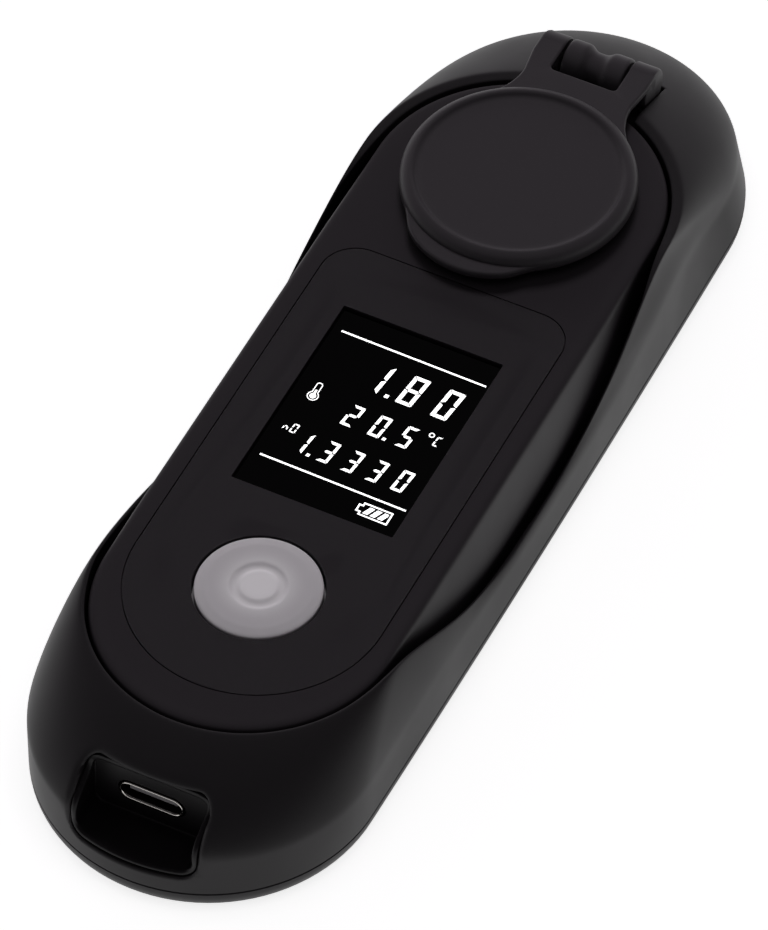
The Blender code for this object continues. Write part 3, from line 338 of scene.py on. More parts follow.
def flat_piece(name, outlines, low, high, edge=0.0):
    """A flat piece with one or more outlines in plan; outlines inside others are holes."""
    curve = bpy.data.curves.new(name, "CURVE")
    curve.dimensions = "2D"
    curve.fill_mode = "BOTH"
    curve.extrude = (high - low) / 2 - edge
    curve.bevel_depth = edge
    curve.bevel_resolution = 3
    curve.offset = -edge
    for outline in outlines:
        line = curve.splines.new("POLY")
        line.points.add(len(outline) - 1)
        for corner, (x, y) in zip(line.points, outline):
            corner.co = (x, y, 0, 1)
        line.use_cyclic_u = True
    draft = placed(name, curve)
    settled = draft.evaluated_get(bpy.context.evaluated_depsgraph_get())
    shape = bmesh.new()
    shape.from_mesh(bpy.data.meshes.new_from_object(settled))
    bpy.data.objects.remove(draft)
    bpy.data.curves.remove(curve)
    bmesh.ops.remove_doubles(shape, verts=shape.verts, dist=0.000002)
    bmesh.ops.translate(shape, vec=(0, 0, (low + high) / 2), verts=shape.verts)
    bmesh.ops.recalc_face_normals(shape, faces=shape.faces)
    return as_piece(name, shape)


def arc(x, y, radius, start, end, steps):
    """Points of an arc about a centre, with both its ends."""
    angles = np.linspace(start, end, steps + 1)
    return [(x + radius * math.cos(a), y + radius * math.sin(a)) for a in angles]


def round_cornered(half_width, half_height, radius, centre=(0.0, 0.0), steps=8):
    """Outline of a rectangle with round corners, starting at the end of its right side."""
    points = []
    for corner, (side, up) in enumerate(((1, 1), (-1, 1), (-1, -1), (1, -1))):
        x = centre[0] + side * (half_width - radius)
        y = centre[1] + up * (half_height - radius)
        points += arc(x, y, radius, math.pi / 2 * corner, math.pi / 2 * (corner + 1), steps)
    return points


overrun = 0.0020
sink_depth = 0.0019
screw_places = [(side * 0.0126, place) for place in (-0.0474, 0.0416) for side in (-1, 1)]
sinks = [((x, y, -overrun), (x, y, sink_depth)) for x, y in screw_places]
sink_radius = 0.0027
plate_outline = round_cornered(0.0140, 0.0260, 0.0020)
plate_depth = 0.0003

tray_sections = []
for station in walk_round(48, 60):
    corner = evenly_spaced([
        body_point(station, body_half_width, parting_height - parting_edge * 1.5),
        body_point(station, body_half_width, edge_height),
        body_point(station, body_half_width - edge_inset * 0.35, edge_height * 0.3),
        body_point(station, body_half_width - edge_inset, 0),
        body_point(station, body_half_width - edge_inset * 2, 0),
    ], 16)
    tray_sections.append([
        body_point(station, body_half_width - tray_wall, parting_height),
        body_point(station, body_half_width - parting_edge, parting_height),
        body_point(station, body_half_width, parting_height - parting_edge),
        *eased(corner, 3),
    ])
tray = carved(
    as_piece("tray", skinned(tray_sections, ring=False, capped=True)),
    round_bar("sinks", sinks, sink_radius),
    flat_piece("plate_place", [plate_outline], -overrun, plate_depth),
)
finished(tray, soft_touch, "housing", "soft_touch", "lower_housing")

# Outer sleeve.
# The grip round the instrument, moulded and then soft-touch painted: upright walls, rounded high
# ends, sides scooped down to show the casing, and a rim rounded over from the gap outward.

casing_half_width = 0.0200
casing_near_centre = -0.04235
casing_far_centre = 0.03465
deck_height = 0.0207
seam = 0.00012
sleeve_bottom = parting_height + seam
sleeve_foot_wall = 0.0020
sleeve_shoulder_wall = 0.0009
crest_low, crest_near, crest_far = 0.0110, 0.0209, 0.0208
crest_low_place = -0.0070
near_scoop_length, far_scoop_length = 0.0390, 0.0420
rim_near, rim_side, rim_far = 0.0008, 0.0027, 0.00175
near_rim_start, far_rim_start = -0.0500, 0.0385
scoop_start_height = 0.0206
shoulder_drop = 0.0022
shoulder_steps = 40
side_fullness = 2.2
# Top of the upright wall, its lean, and the shoulder's fullness outward and upward, at each end.
near_shoulder = (0.0108, 0.0, 1.33, 1.33)
far_shoulder = (0.0104, 0.0012, 1.05, 1.6)


def ease(share):
    """From 0 to 1 with soft ends."""
    share = min(max(share, 0.0), 1.0)
    return share * share * (3 - 2 * share)


def between(low, high, share):
    """A value part of the way from one to another."""
    return low + (high - low) * share


def casing_point(station, radius):
    """A station's place in plan, round the casing's middle line."""
    return plan_point(station, casing_near_centre, casing_far_centre, radius)


def crest_height_at(place):
    """The rim's height along the body: high round the ends and scooped between them."""
    from_low = crest_low_place - place
    if from_low > 0:
        return between(crest_low, crest_near, ease((from_low / near_scoop_length) ** 1.35))
    return between(crest_low, crest_far, ease((-from_low / far_scoop_length) ** 1.5))


def rim_at(station):
    """The rim at one place: how far crest and gap lie outside the casing, height, scoop's share."""
    place = casing_point(station, casing_half_width)[1]
    crest = crest_height_at(place)
    if place < crest_low_place:
        offset = between(rim_near, rim_side, ease((place - near_rim_start) / 0.0260))
        return offset, offset - 0.0004, crest, ease((scoop_start_height - crest) / 0.0036)
    offset = between(rim_far, rim_side, ease((far_rim_start - place) / 0.0240))
    gap = min(between(0.0004, 0.0024, ease((far_rim_start - place) / 0.0170)), offset - 0.0003)
    return offset, gap, crest, ease((scoop_start_height - crest) / 0.0050)


def sleeve_section(station):
    """The sleeve's closed section: wall, shoulder, crest, rounded rim, gap wall, inside."""
    share = station[2]
    offset, gap, crest, scoop = rim_at(station)
    crest_radius = casing_half_width + offset
    gap_radius = casing_half_width + gap
    gap_top = crest - between(0.00017, 0.0003, scoop)
    if share < 0.5:
        side, (end_top, end_lean, end_out, end_up) = ease(share * 2), near_shoulder
    else:
        side, (end_top, end_lean, end_out, end_up) = ease((1 - share) * 4), far_shoulder
    wall_top = between(end_top, crest - shoulder_drop, side)
    foot = body_half_width + body_bulge * 4 * share * (1 - share) - end_lean * (1 - side)
    outward_power = 2 / between(end_out, side_fullness, side)
    upward_power = 2 / between(end_up, side_fullness, side)
    inside_low = between(sleeve_bottom, wall_top, 0.88)
    inside_top = between(sleeve_bottom, gap_top, 0.88)
    outer, inner = [body_point(station, body_half_width, sleeve_bottom)], []
    for step in range(shoulder_steps + 1):
        angle = math.pi / 2 * (1 - step / shoulder_steps)
        out = math.sin(angle) ** outward_power
        up = max(math.cos(angle), 0.0) ** upward_power
        near = between(casing_near_centre, -body_centre, out)
        far = between(casing_far_centre, body_centre, out)
        x, y = plan_point(station, near, far, between(crest_radius, foot, out))
        outer.append((x, y, between(wall_top, crest, up)))
        x, y = plan_point(station, near, far, between(gap_radius, foot - sleeve_shoulder_wall, out))
        inner.append((x, y, between(inside_low, inside_top, up)))
    inner.reverse()
    inner.append(body_point(station, body_half_width - sleeve_foot_wall, sleeve_bottom))
    band = evenly_spaced([outer[-1], (*casing_point(station, gap_radius), gap_top), inner[0]], 22)
    line = np.concatenate([evenly_spaced(outer, 64), band[1:]])
    crisp = eased(line.copy(), 2)
    line = crisp + (eased(line, 6) - crisp) * scoop
    return [*line, *evenly_spaced(inner, 8)[1:]]


def soften_opening(shape, reach, away, inward, radius):
    """Round a surface over into an opening that will be cut along the inward direction.

    reach says which points may move, away how far a point lies outside the opening.
    """
    for _ in range(2):
        near_edges = [
            edge for edge in shape.edges
            if all(reach(v.co) and -0.0012 < away(v.co) < radius(v.co) + 0.0006 for v in edge.verts)
            and edge.calc_length() > 0.0002
        ]
        bmesh.ops.subdivide_edges(shape, edges=near_edges, cuts=1, use_grid_fill=True)
    for v in shape.verts:
        if not reach(v.co):
            continue
        turn = radius(v.co)
        out = max(away(v.co), 0.0)
        if out < turn:
            v.co += inward * (turn - math.sqrt(max(out * (2 * turn - out), 0.0)))


pocket_half_width = 0.0080
pocket_floor = 0.0074
pocket_roof = 0.0159
pocket_middle = (pocket_floor + pocket_roof) / 2
pocket_half_height = (pocket_roof - pocket_floor) / 2
pocket_corner = 0.0014
mouth_grow = 0.00084
mouth_corner = pocket_corner + mouth_grow
mouth_half_width = pocket_half_width + mouth_grow
mouth_half_height = pocket_half_height + mouth_grow
mouth_front, mouth_rear = -0.0800, -0.06745
notch_half_width = 0.00843
notch_front, notch_rear = 0.0506, 0.06292
notch_floor, notch_top = 0.0126, 0.0245
notch_rounding = 0.0002


def away_from_mouth(point):
    """How far a point of the near end lies outside the USB mouth, seen along the body."""
    across = abs(point.x) - (mouth_half_width - mouth_corner)
    up = abs(point.z - pocket_middle) - (mouth_half_height - mouth_corner)
    outside = math.hypot(max(across, 0.0), max(up, 0.0))
    return outside + min(max(across, up), 0.0) - mouth_corner


def mouth_rounding(point):
    """The mouth's edge is nearly sharp below the pocket, soft beside it and full above it."""
    above = ease((point.z - pocket_roof + 0.0010) / 0.0020) * max(1 - (point.x / 0.0095) ** 2, 0.0)
    return between(0.00035, 0.0011, ease((point.z - pocket_floor) / 0.0035)) + 0.0008 * above


def away_from_notch(point):
    """How far a point of the far end lies outside the hinge notch, seen from above."""
    return max(abs(point.x) - notch_half_width, point.y - notch_rear)


def upright_slab(name, outline, near, far):
    """A slab with an outline seen along the body, between two places along it."""
    piece = flat_piece(name, [outline], near, far)
    piece.data.transform(Matrix.Rotation(math.pi / 2, 4, "X") @ Matrix.Diagonal((1, 1, -1, 1)))
    piece.data.flip_normals()
    return piece


def block(name, low, high):
    """A plain block between two corners, to cut or to join with."""
    shape = bmesh.new()
    bmesh.ops.create_cube(shape, size=1.0)
    bmesh.ops.scale(shape, vec=Vector(high) - Vector(low), verts=shape.verts)
    bmesh.ops.translate(shape, vec=(Vector(low) + Vector(high)) / 2, verts=shape.verts)
    return as_piece(name, shape)


sleeve_shape = skinned([sleeve_section(station) for station in walk_round(72, 110)])
sleeve_surface = BVHTree.FromBMesh(sleeve_shape)
soften_opening(
    sleeve_shape, lambda p: p.y < -0.0655, away_from_mouth, Vector((0, 1, 0)), mouth_rounding,
)
soften_opening(
    sleeve_shape, lambda p: p.y > 0.0535 and p.z > 0.0150, away_from_notch, Vector((0, 0, -1)),
    lambda p: notch_rounding,
)
# The notch is cut before the mouth: the other way round, the solver loses the whole sleeve.
sleeve = carved(
    as_piece("sleeve", sleeve_shape),
    block(
        "notch", (-notch_half_width, notch_front, notch_floor),
        (notch_half_width, notch_rear, notch_top),
    ),
    upright_slab(
        "mouth",
        round_cornered(mouth_half_width, mouth_half_height, mouth_corner, (0.0, pocket_middle)),
        mouth_front, mouth_rear,
    ),
)
finished(sleeve, soft_touch, "housing", "soft_touch", "outer_sleeve")

# Upper casing.
# One moulding of black ABS with a spark-eroded satin grain: the flat deck, its soft edge, and
# the flanks that lean out between the sleeve's scooped sides and run down into the dark gap.

casing_plastic = new_finish("satin_moulded_abs", "#1e1b1e", IOR=1.30)
add_grain(casing_plastic, width=0.00012, depth=0.000004, roughness=(0.48, 0.56))

deck_inset = 0.0040
flank_depth = 0.0090
flank_reach = 0.00135
casing_bottom = 0.0040


def casing_section(station):
    """The casing's section at one place, from under the deck's edge down into the gap."""
    x, y = casing_point(station, casing_half_width)
    reach = flank_reach * rim_at(station)[3]
    outward = Vector((station[0], station[1], 0))

    def at(out, down):
        return Vector((x, y, deck_height - down)) + outward * out

    flank = [at(reach * share, flank_depth * share) for share in np.linspace(0, 1, 16)]
    line = evenly_spaced([at(-deck_inset, 0), *flank, at(reach, 0.0125), at(reach, 0.0140)], 80)
    return [*eased(line, 14), (x, y, casing_bottom)]


overlay_half_width = 0.0173
overlay_far_edge = 0.01765
overlay_corner = 0.0050
overlay_thickness = 0.0003
film_pocket_depth = 0.00045
film_gap = 0.00015
button_place = -0.03925
button_hole = 0.0085
display_half_width = 0.0114
display_half_length = 0.01605
display_corner = 0.0002
display_place = -0.0085
dish_hole = 0.0117
lid_place = 0.03565
well_floor = 0.0150
above_deck = deck_height + overrun


def overlay_outline(inset):
    """The film's outline: round about the button, with small corners at the far end."""
    side = overlay_half_width - inset
    radius = overlay_corner - inset
    x, y = side - radius, overlay_far_edge - inset - radius
    return (
        arc(0, button_place, side, math.pi, math.tau, 64)
        + arc(x, y, radius, 0, math.pi / 2, 16) + arc(-x, y, radius, math.pi / 2, math.pi, 16)
    )


def circle(radius, centre=(0.0, 0.0), steps=96):
    """Outline of a circle."""
    return arc(*centre, radius, 0, math.tau, steps)[:-1]


def display_outline(inset):
    """Outline of the display's opening."""
    return round_cornered(
        display_half_width - inset, display_half_length - inset, display_corner,
        (0.0, display_place), steps=3,
    )


casing_sections = [casing_section(station) for station in walk_round(64, 100)]
casing = carved(
    as_piece("casing", skinned(casing_sections, ring=False, capped=True)),
    flat_piece("film_pocket", [overlay_outline(0)], deck_height - film_pocket_depth, above_deck),
    flat_piece("display_opening", [display_outline(-film_gap)], well_floor, above_deck),
    flat_piece("button_opening", [circle(button_hole, (0, button_place))], well_floor, above_deck),
    flat_piece("dish_opening", [circle(dish_hole, (0, lid_place))], well_floor, above_deck),
)
finished(casing, casing_plastic, "housing", "casing_plastic", "upper_casing")

# Front overlay.
# A die-cut polyester film, 0.3 mm thick, printed black on its back and matt on its front, let
# into the deck with a hairline gap round it. Its openings show the display and the button.

overlay_film = new_finish("matt_polyester_film", "#191619", IOR=1.44)
add_grain(overlay_film, width=0.00010, depth=0.000003, strength=0.4, roughness=(0.34, 0.40))
overlay = flat_piece(
    "overlay",
    [overlay_outline(film_gap), display_outline(0), circle(button_hole, (0, button_place))],
    deck_height - overlay_thickness, deck_height, edge=0.00004,
)
finished(overlay, overlay_film, "housing", "overlay_film", "front_overlay")

# Display.
# A clear acrylic window, sunk half a millimetre, over a black liquid-crystal panel that is lit
# from behind: unlit ground is nearly black and glossy, lit segments are plain white shapes.

window_top = deck_height - 0.0005
window_thickness = 0.0010
window_gloss = new_finish(
    "clear_acrylic_over_black", "#000000", IOR=1.49, Specular_IOR_Level=0.2,
)
add_grain(window_gloss, width=0.004, depth=0.000001, strength=0.2, roughness=(0.05, 0.07))
window = flat_piece(
    "window", [display_outline(film_gap)], window_top - window_thickness, window_top, edge=0.00008,
)
finished(window, window_gloss, "housing", "window_pane", "display_window")

# Segments are even, unshaded white. Their sizes are in millimetres from the display's middle.
segment_white = new_finish(
    "lit_white_segments", "#ffffff", Roughness=0.5, Emission_Color=(1, 1, 1, 1),
    Emission_Strength=1.0,
)
mm = 0.001
segment_gap = 0.07
segment_lean = 0.11
segment_lift = 0.000003
segment_thickness = 0.00002
panel_shift = 0.00045
panel_skew = 0.014
digit_segments = {
    "0": "abcdef", "1": "bc", "2": "abged", "3": "abgcd", "5": "afgcd", "8": "abcdefg",
    "C": "afed", "n": "egc", "D": "abcdef",
}


def segment_outline(letter, width, height, stroke):
    """One segment of a digit, with mitred ends, in the digit's own upright frame."""
    middle, half, gap = height / 2, stroke / 2, segment_gap
    long, short = width - gap, width - stroke - gap
    across = {
        "a": [(gap, height), (long, height), (short, height - stroke),
              (stroke + gap, height - stroke)],
        "d": [(gap, 0), (long, 0), (short, stroke), (stroke + gap, stroke)],
        "g": [(half + gap, middle), (stroke + gap, middle + half), (short, middle + half),
              (width - half - gap, middle), (short, middle - half), (stroke + gap, middle - half)],
    }
    if letter in across:
        return across[letter]
    upper = [(0, height - gap), (stroke, height - stroke - gap), (stroke, middle + half + gap),
             (half * 0.6, middle + gap * 1.3), (0, middle + gap * 1.3)]
    shape = upper if letter in "fb" else [(x, height - y) for x, y in upper]
    return [(width - x, y) for x, y in shape] if letter in "bc" else shape


def row_of_digits(digits, rights, bottom, width, height, stroke):
    """The lit segments of a row of digits that lean to the right, with the right edge of each."""
    return [
        [
            (right - width + x + y * segment_lean, bottom + y)
            for x, y in segment_outline(part, width, height, stroke)
        ]
        for letter, right in zip(digits, rights)
        for part in digit_segments[letter]
    ]


def spot(x, y, size):
    """A decimal point: a small leaning square."""
    lean = size * segment_lean
    return [(x, y), (x + size, y), (x + size + lean, y + size), (x + lean, y + size)]


segments = [
    [(-9.95, 11.68), (10.85, 11.68), (10.85, 11.94), (-9.95, 11.94)],
    [(-10.0, -11.42), (10.80, -11.42), (10.80, -11.16), (-10.0, -11.16)],
]
segments += row_of_digits("180", [-1.25, 3.70, 8.70], 4.30, 2.25, 5.05, 0.54)
segments.append(spot(-0.15, 4.30, 0.55))
segments += row_of_digits("205", [-1.60, 2.30, 6.20], -2.18, 1.65, 3.65, 0.40)
segments.append(spot(2.78, -2.18, 0.45))
segments += row_of_digits("13330", [-5.38, -1.70, 1.80, 5.25, 8.90], -8.95, 1.60, 3.65, 0.40)
segments.append(spot(-4.70, -8.95, 0.45))
segments += row_of_digits("C", [9.65], -0.10, 0.75, 1.65, 0.20)
segments += [circle(radius, (8.23, 1.40), 32) for radius in (0.40, 0.25)]
segments += row_of_digits("n", [-8.80], -6.30, 0.68, 1.30, 0.17)
segments += row_of_digits("D", [-7.65], -6.35, 0.80, 1.55, 0.18)

# A thermometer: two outlines, one in the other, and the filling of its bulb.
bulb_x, bulb_y, stem_top = -8.33, 0.36, 2.32
for grow in (0.22, 0.10):
    stem, bulb = 0.22 + grow, 0.56 + grow
    join = math.pi / 2 + math.asin(stem / bulb)
    segments.append(
        arc(bulb_x, bulb_y, bulb, join, math.tau + math.pi - join, 32)
        + arc(bulb_x, stem_top, stem, 0, math.pi, 12)
    )
segments.append([
    (bulb_x + 0.14, bulb_y + 1.1), (bulb_x - 0.14, bulb_y + 1.1),
    *arc(bulb_x, bulb_y, 0.44, 1.89, 7.53, 23),
])

# A battery: case, the case's inside, and three bars of charge.
segments += [
    [(5.50, -14.55), (9.66, -14.55), (9.66, -12.40), (5.50, -12.40), (5.50, -12.85),
     (4.98, -12.85), (4.98, -14.10), (5.50, -14.10)],
    [(5.72, -14.33), (9.44, -14.33), (9.44, -12.62), (5.72, -12.62), (5.72, -13.07),
     (5.20, -13.07), (5.20, -13.88), (5.72, -13.88)],
    [(6.00, -14.10), (6.70, -14.10), (7.25, -12.85), (6.55, -12.85)],
    [(7.05, -14.10), (7.75, -14.10), (8.30, -12.85), (7.60, -12.85)],
    [(8.10, -14.10), (8.80, -14.10), (9.20, -13.20), (9.20, -12.85), (8.65, -12.85)],
]
lit = flat_piece(
    "lit_segments",
    [
        [(x * mm, (y - x * panel_skew) * mm + panel_shift + display_place) for x, y in outline]
        for outline in segments
    ],
    window_top + segment_lift, window_top + segment_lift + segment_thickness,
)
finished(lit, segment_white, "housing", "window_pane")

# Measuring button.
# Moulded translucent grey silicone, lit partly by the light that comes back out of it and partly by
# a painted glow, its grey painted lighter at the middle than at the rim: a low dome with a fine
# edge, a shallow ring groove, and a nub in the middle for the fingertip.

button_top = 0.0212
button_rim_colour = "#979397"
silicone = new_finish(
    "translucent_silicone", button_rim_colour, Roughness=0.42, IOR=1.41, Subsurface_Weight=0.25,
    Subsurface_Scale=0.0015, Subsurface_Radius=(1.0, 0.98, 1.0),
)
# Painted glow: the base colour runs from a lighter grey at the dome's middle to a darker grey at
# its rim.
silicone_tree = silicone.node_tree
silicone_place = add_node(silicone_tree, "ShaderNodeTexCoord").outputs["Object"]
from_middle = add_node(
    silicone_tree, "ShaderNodeVectorMath", {1: (0.0, button_place, button_top)},
    {0: silicone_place}, operation="DISTANCE",
).outputs["Value"]
painted_glow_fade = add_node(
    silicone_tree, "ShaderNodeMapRange", {"From Min": 0.0012, "From Max": 0.0062},
    {"Value": from_middle}, interpolation_type="SMOOTHSTEP",
).outputs["Result"]
feed(silicone, "Base Color", add_node(
    silicone_tree, "ShaderNodeMix", {"A": linear("#b7b3b7"), "B": linear(button_rim_colour)},
    {"Factor": painted_glow_fade}, data_type="RGBA",
).outputs["Result"])


def turned(name, profile, place, steps=128, ring=False, turn=None):
    """A turned piece from a profile of radii and heights; a ring's profile is a closed line."""
    angles = [math.tau * step / steps for step in range(steps)]
    shape = skinned([
        [(radius * math.cos(a), radius * math.sin(a), height) for radius, height in profile]
        for a in angles
    ], ring=ring)
    bmesh.ops.remove_doubles(shape, verts=shape.verts, dist=0.000001)
    bmesh.ops.recalc_face_normals(shape, faces=shape.faces)
    if turn is not None:
        bmesh.ops.transform(shape, matrix=turn, verts=shape.verts)
    bmesh.ops.translate(shape, vec=place, verts=shape.verts)
    return as_piece(name, shape)


def soft_profile(corners, count, rounds):
    """A profile through corners, evenly spaced and softened."""
    return [tuple(point) for point in eased(evenly_spaced(corners, count), rounds)]


plunger_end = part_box("measuring_button")[0].z
button_dome = soft_profile([
    (0.0, button_top), (0.0023, button_top), (0.0028, 0.02092), (0.0033, 0.02092),
    (0.0038, 0.02122), (0.0052, 0.02116), (0.0068, 0.02108), (0.0079, 0.02085),
    (0.0082, deck_height), (0.0082, 0.0202),
], 90, 6)
button = turned("button", button_dome + [
    (0.0082, 0.0186), (0.0092, 0.0186), (0.0092, 0.0178), (0.0025, 0.0178),
    (0.0025, plunger_end), (0.0, plunger_end),
], (0, button_place, 0))
finished(button, silicone, "button", "button_rubber", "measuring_button")

# Lid.
# Moulded ABS, a shade greyer and duller than the casing: a round cap with a low bead round its
# face, a flange that runs out into the thumb tab, and two arms that end in the outer barrels.

lid_plastic = new_finish("dull_moulded_abs", "#282528", IOR=1.34)
add_grain(lid_plastic, width=0.00014, depth=0.000004, roughness=(0.44, 0.52))

lid_radius = 0.0156
lid_under = 0.0219
lid_top = 0.02312
neck_root = 0.0113
neck_half_width = 0.0078
tab_turn = math.radians(-6)
tab_half_angle = math.radians(40)
tab_reach = 0.0022
hinge_place = 0.05985
hinge_height = 0.0202
hinge_half_width = 0.0083
barrel_radius = 0.00295
slot_half_width = 0.00475
slot_corner = 0.0006
slot_near = hinge_place - barrel_radius - 0.0019
pin_bore_radius = 0.00095
arm_bore_end = 0.0078
lid_middle = (0, lid_place, 0)
hinge_middle = (0, hinge_place, hinge_height)
hinge_turn = Matrix.Rotation(math.pi / 2, 4, "Y")


def lid_outline():
    """Lid, thumb tab, neck and arms in one line, as a moulder would cut the plate."""
    points = []
    start = math.asin(neck_root / lid_radius)
    for step in range(181):
        angle = start - (math.pi + 2 * start) * step / 180
        from_tab = (angle - (-math.pi / 2 + tab_turn) + math.pi) % math.tau - math.pi
        swell = max(0.0, 1 - (from_tab / tab_half_angle) ** 2)
        radius = lid_radius + tab_reach * swell * (0.35 + 0.65 * ease(swell * 1.6))
        points.append((radius * math.cos(angle), lid_place + radius * math.sin(angle)))
    root = lid_place + neck_root
    neck = [(0.01075, root)]
    for step in range(1, 13):
        share = step / 12
        neck.append((neck_half_width + 0.0028 * (1 - share) ** 2, root + 0.0065 * share))
    neck += [(hinge_half_width, 0.0572), (hinge_half_width, hinge_place)]
    slot = [(slot_half_width, hinge_place), *arc(
        slot_half_width - slot_corner, slot_near + slot_corner, slot_corner, 0, -math.pi / 2, 6,
    )]
    left = [(-x, y) for x, y in neck] + [(-x, y) for x, y in slot]
    right = list(reversed(slot)) + list(reversed(neck))
    return points + left[1:] + right[:-1]


def pin_bore(name, reach):
    """The bore for the hinge pin, as far to each side as it reaches."""
    return round_bar(name, [
        ((-reach, hinge_place, hinge_height), (reach, hinge_place, hinge_height)),
    ], pin_bore_radius)


lid = flat_piece("lid_plate", [lid_outline()], lid_under, lid_top, edge=0.00035)
cap = turned("lid_cap", soft_profile([
    (0.0, 0.0239), (0.0133, 0.0239), (0.0136, 0.0240), (0.0138, 0.0244), (0.0141, 0.02455),
    (0.0147, 0.02435), (0.0152, 0.0240), (0.0155, 0.0235), (lid_radius, 0.0230),
    (lid_radius, 0.0225),
], 110, 5) + [(0.0, 0.0225)], lid_middle, steps=160)
arm_barrel = [
    (0.0, slot_half_width), (barrel_radius - 0.0002, slot_half_width),
    (barrel_radius, slot_half_width + 0.0002), (barrel_radius, hinge_half_width - 0.0005),
    (barrel_radius - 0.00015, hinge_half_width - 0.00015),
    (barrel_radius - 0.0005, hinge_half_width), (0.0, hinge_half_width),
]
barrels = [
    turned(
        f"lid_barrel_{side}", [(radius, side * along) for radius, along in arm_barrel],
        hinge_middle, steps=64, turn=hinge_turn,
    )
    for side in (-1, 1)
]
carved(lid, cap, *barrels, operation="UNION")
hollow = turned(
    "lid_hollow",
    [(0, 0.0226), (0.0128, 0.0226), (0.0131, 0.0224), (0.0131, 0.0200), (0, 0.0200)],
    lid_middle,
)
carved(lid, hollow, pin_bore("arm_bore", arm_bore_end))
lid.name = "lid_cover"
finished(lid, lid_plastic, "lid", "casing_plastic", "lid")

# Lid seal.
# A square-section ring of black nitrile rubber in the lid's hollow, dull and faintly pebbled,
# which closes on the dish's rim.

nitrile = new_finish("nitrile_rubber", "#161416", Roughness=0.55, IOR=1.52)
add_grain(nitrile, width=0.0002, depth=0.000008)
seal_radius = 0.0116
seal_half_width = 0.00078
seal_low, seal_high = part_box("lid_seal")
seal_middle = (seal_low.z + seal_high.z) / 2
seal_half_height = (seal_high.z - seal_low.z) / 2


def square_wave(value):
    """A cosine or sine pulled towards 1 or -1, so that a ring's section turns nearly square."""
    return math.copysign(abs(value) ** 0.5, value)


lid_seal = turned("seal_ring", [
    (seal_radius + seal_half_width * square_wave(math.cos(a)),
     seal_middle + seal_half_height * square_wave(math.sin(a)))
    for a in np.linspace(0, math.tau, 24, endpoint=False)
], lid_middle, ring=True)
finished(lid_seal, nitrile, "lid", "seal_rubber", "lid_seal")

# Hinge bracket and pin.
# A moulded block behind the casing carries the waisted middle barrel between the lid's arms. A
# drawn stainless pin runs through all three barrels; the arms close over its ends.

knuckle_half_width = 0.0044
bracket = block(
    "bracket", (-hinge_half_width, 0.05495, 0.0129), (hinge_half_width, 0.06295, 0.0166),
)
knuckle_neck = block(
    "knuckle_neck",
    (-knuckle_half_width, hinge_place - barrel_radius * 0.5, 0.0149),
    (knuckle_half_width, hinge_place + barrel_radius * 0.9, hinge_height),
)
knuckle_half = soft_profile([
    (0.0, knuckle_half_width), (barrel_radius - 0.0002, knuckle_half_width),
    (barrel_radius, knuckle_half_width - 0.0002), (barrel_radius, 0.0018), (0.0024, 0.0011),
    (0.00225, 0.0006), (0.00225, 0.0),
], 40, 3)
knuckle = turned(
    "knuckle", knuckle_half + [(radius, -along) for radius, along in reversed(knuckle_half[:-1])],
    hinge_middle, steps=72, turn=hinge_turn,
)
carved(bracket, knuckle_neck, knuckle, operation="UNION")
carved(bracket, pin_bore("knuckle_bore", hinge_half_width))
finished(bracket, lid_plastic, "housing", "casing_plastic", "hinge_bracket")

# Stainless steel keeps a bright, slightly clouded gloss: turning marks too fine to show by
# themselves are drawn as unevenness 1.1 mm wide.
stainless = new_finish("turned_stainless_steel", "#c9c7c5", Metallic=1.0, Roughness=0.28)
add_grain(stainless, width=0.00111, depth=0.00001, strength=0.3)
pin = turned("pin", [
    (0.0, 0.0077), (0.0006, 0.0077), (0.0008, 0.0075), (0.0008, -0.0075), (0.0006, -0.0077),
    (0.0, -0.0077),
], hinge_middle, steps=48, turn=hinge_turn)
finished(pin, stainless, "housing", "stainless_steel", "hinge_pin")

# Sample dish and prism.
# A shallow dish turned from stainless steel and polished where the sample lies, with the round
# face of the clear glass prism sealed into its middle. Both are seen when the lid is up.

dish = turned("dish", soft_profile([
    (0.0052, 0.0200), (0.0075, 0.0202), (0.0100, 0.0207), (0.0108, 0.0210), (0.0113, 0.0215),
    (0.0124, 0.0215), (0.0126, 0.0214), (0.0126, 0.0210),
], 60, 2) + [
    (0.0114, 0.0210), (0.0114, 0.0189), (0.0105, 0.0189), (0.0105, 0.01965), (0.0052, 0.0191),
], lid_middle, ring=True)
finished(dish, stainless, "housing", "stainless_steel", "sample_dish")

prism_glass = new_finish(
    "polished_optical_glass", "#dfe9ee", Roughness=0.02, IOR=1.72, Transmission_Weight=0.85,
)
prism_radius = 0.0049
prism_chamfer = 0.0002
prism_low, prism_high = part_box("prism")
prism_piece = turned("prism_face", [
    (0.0, prism_high.z), (prism_radius - prism_chamfer, prism_high.z),
    (prism_radius, prism_high.z - prism_chamfer), (prism_radius, prism_high.z - 0.0031),
    (0.0, prism_low.z),
], lid_middle, steps=96)
finished(prism_piece, prism_glass, "housing", "optical_glass", "prism")

# USB pocket and socket.
# A black insert lines the pocket in the near end, with a rounded lip just inside the sleeve. The
# socket's drawn and nickel-plated shell comes through its back round a dark grey nylon tongue.

pocket_back = -0.06875
insert_back = -0.06775
insert_wall = 0.0008
insert_fillet = 0.00025
insert_points = 120
socket_height = 0.0117
socket_half_width = 0.00447
socket_half_height = 0.00158
socket_clearance = 0.00025
socket_front = -0.06895
socket_back = socket_front + 0.0073


def closed_line(corners, count):
    """A closed outline as evenly spaced points."""
    return evenly_spaced(corners + corners[:1], count + 1)[:-1]


def pocket_line(grow):
    """The pocket's outline seen along the body, grown or shrunk."""
    return closed_line(round_cornered(
        pocket_half_width + grow, pocket_half_height + grow, pocket_corner + grow,
        (0.0, pocket_middle), steps=6,
    ), insert_points)


def surface_place(x, z):
    """Where the sleeve's uncut near end lies along the body, at a place seen along it."""
    hit = sleeve_surface.ray_cast(Vector((x, -0.2, z)), Vector((0, 1, 0)))[0]
    return hit.y if hit is not None else pocket_back


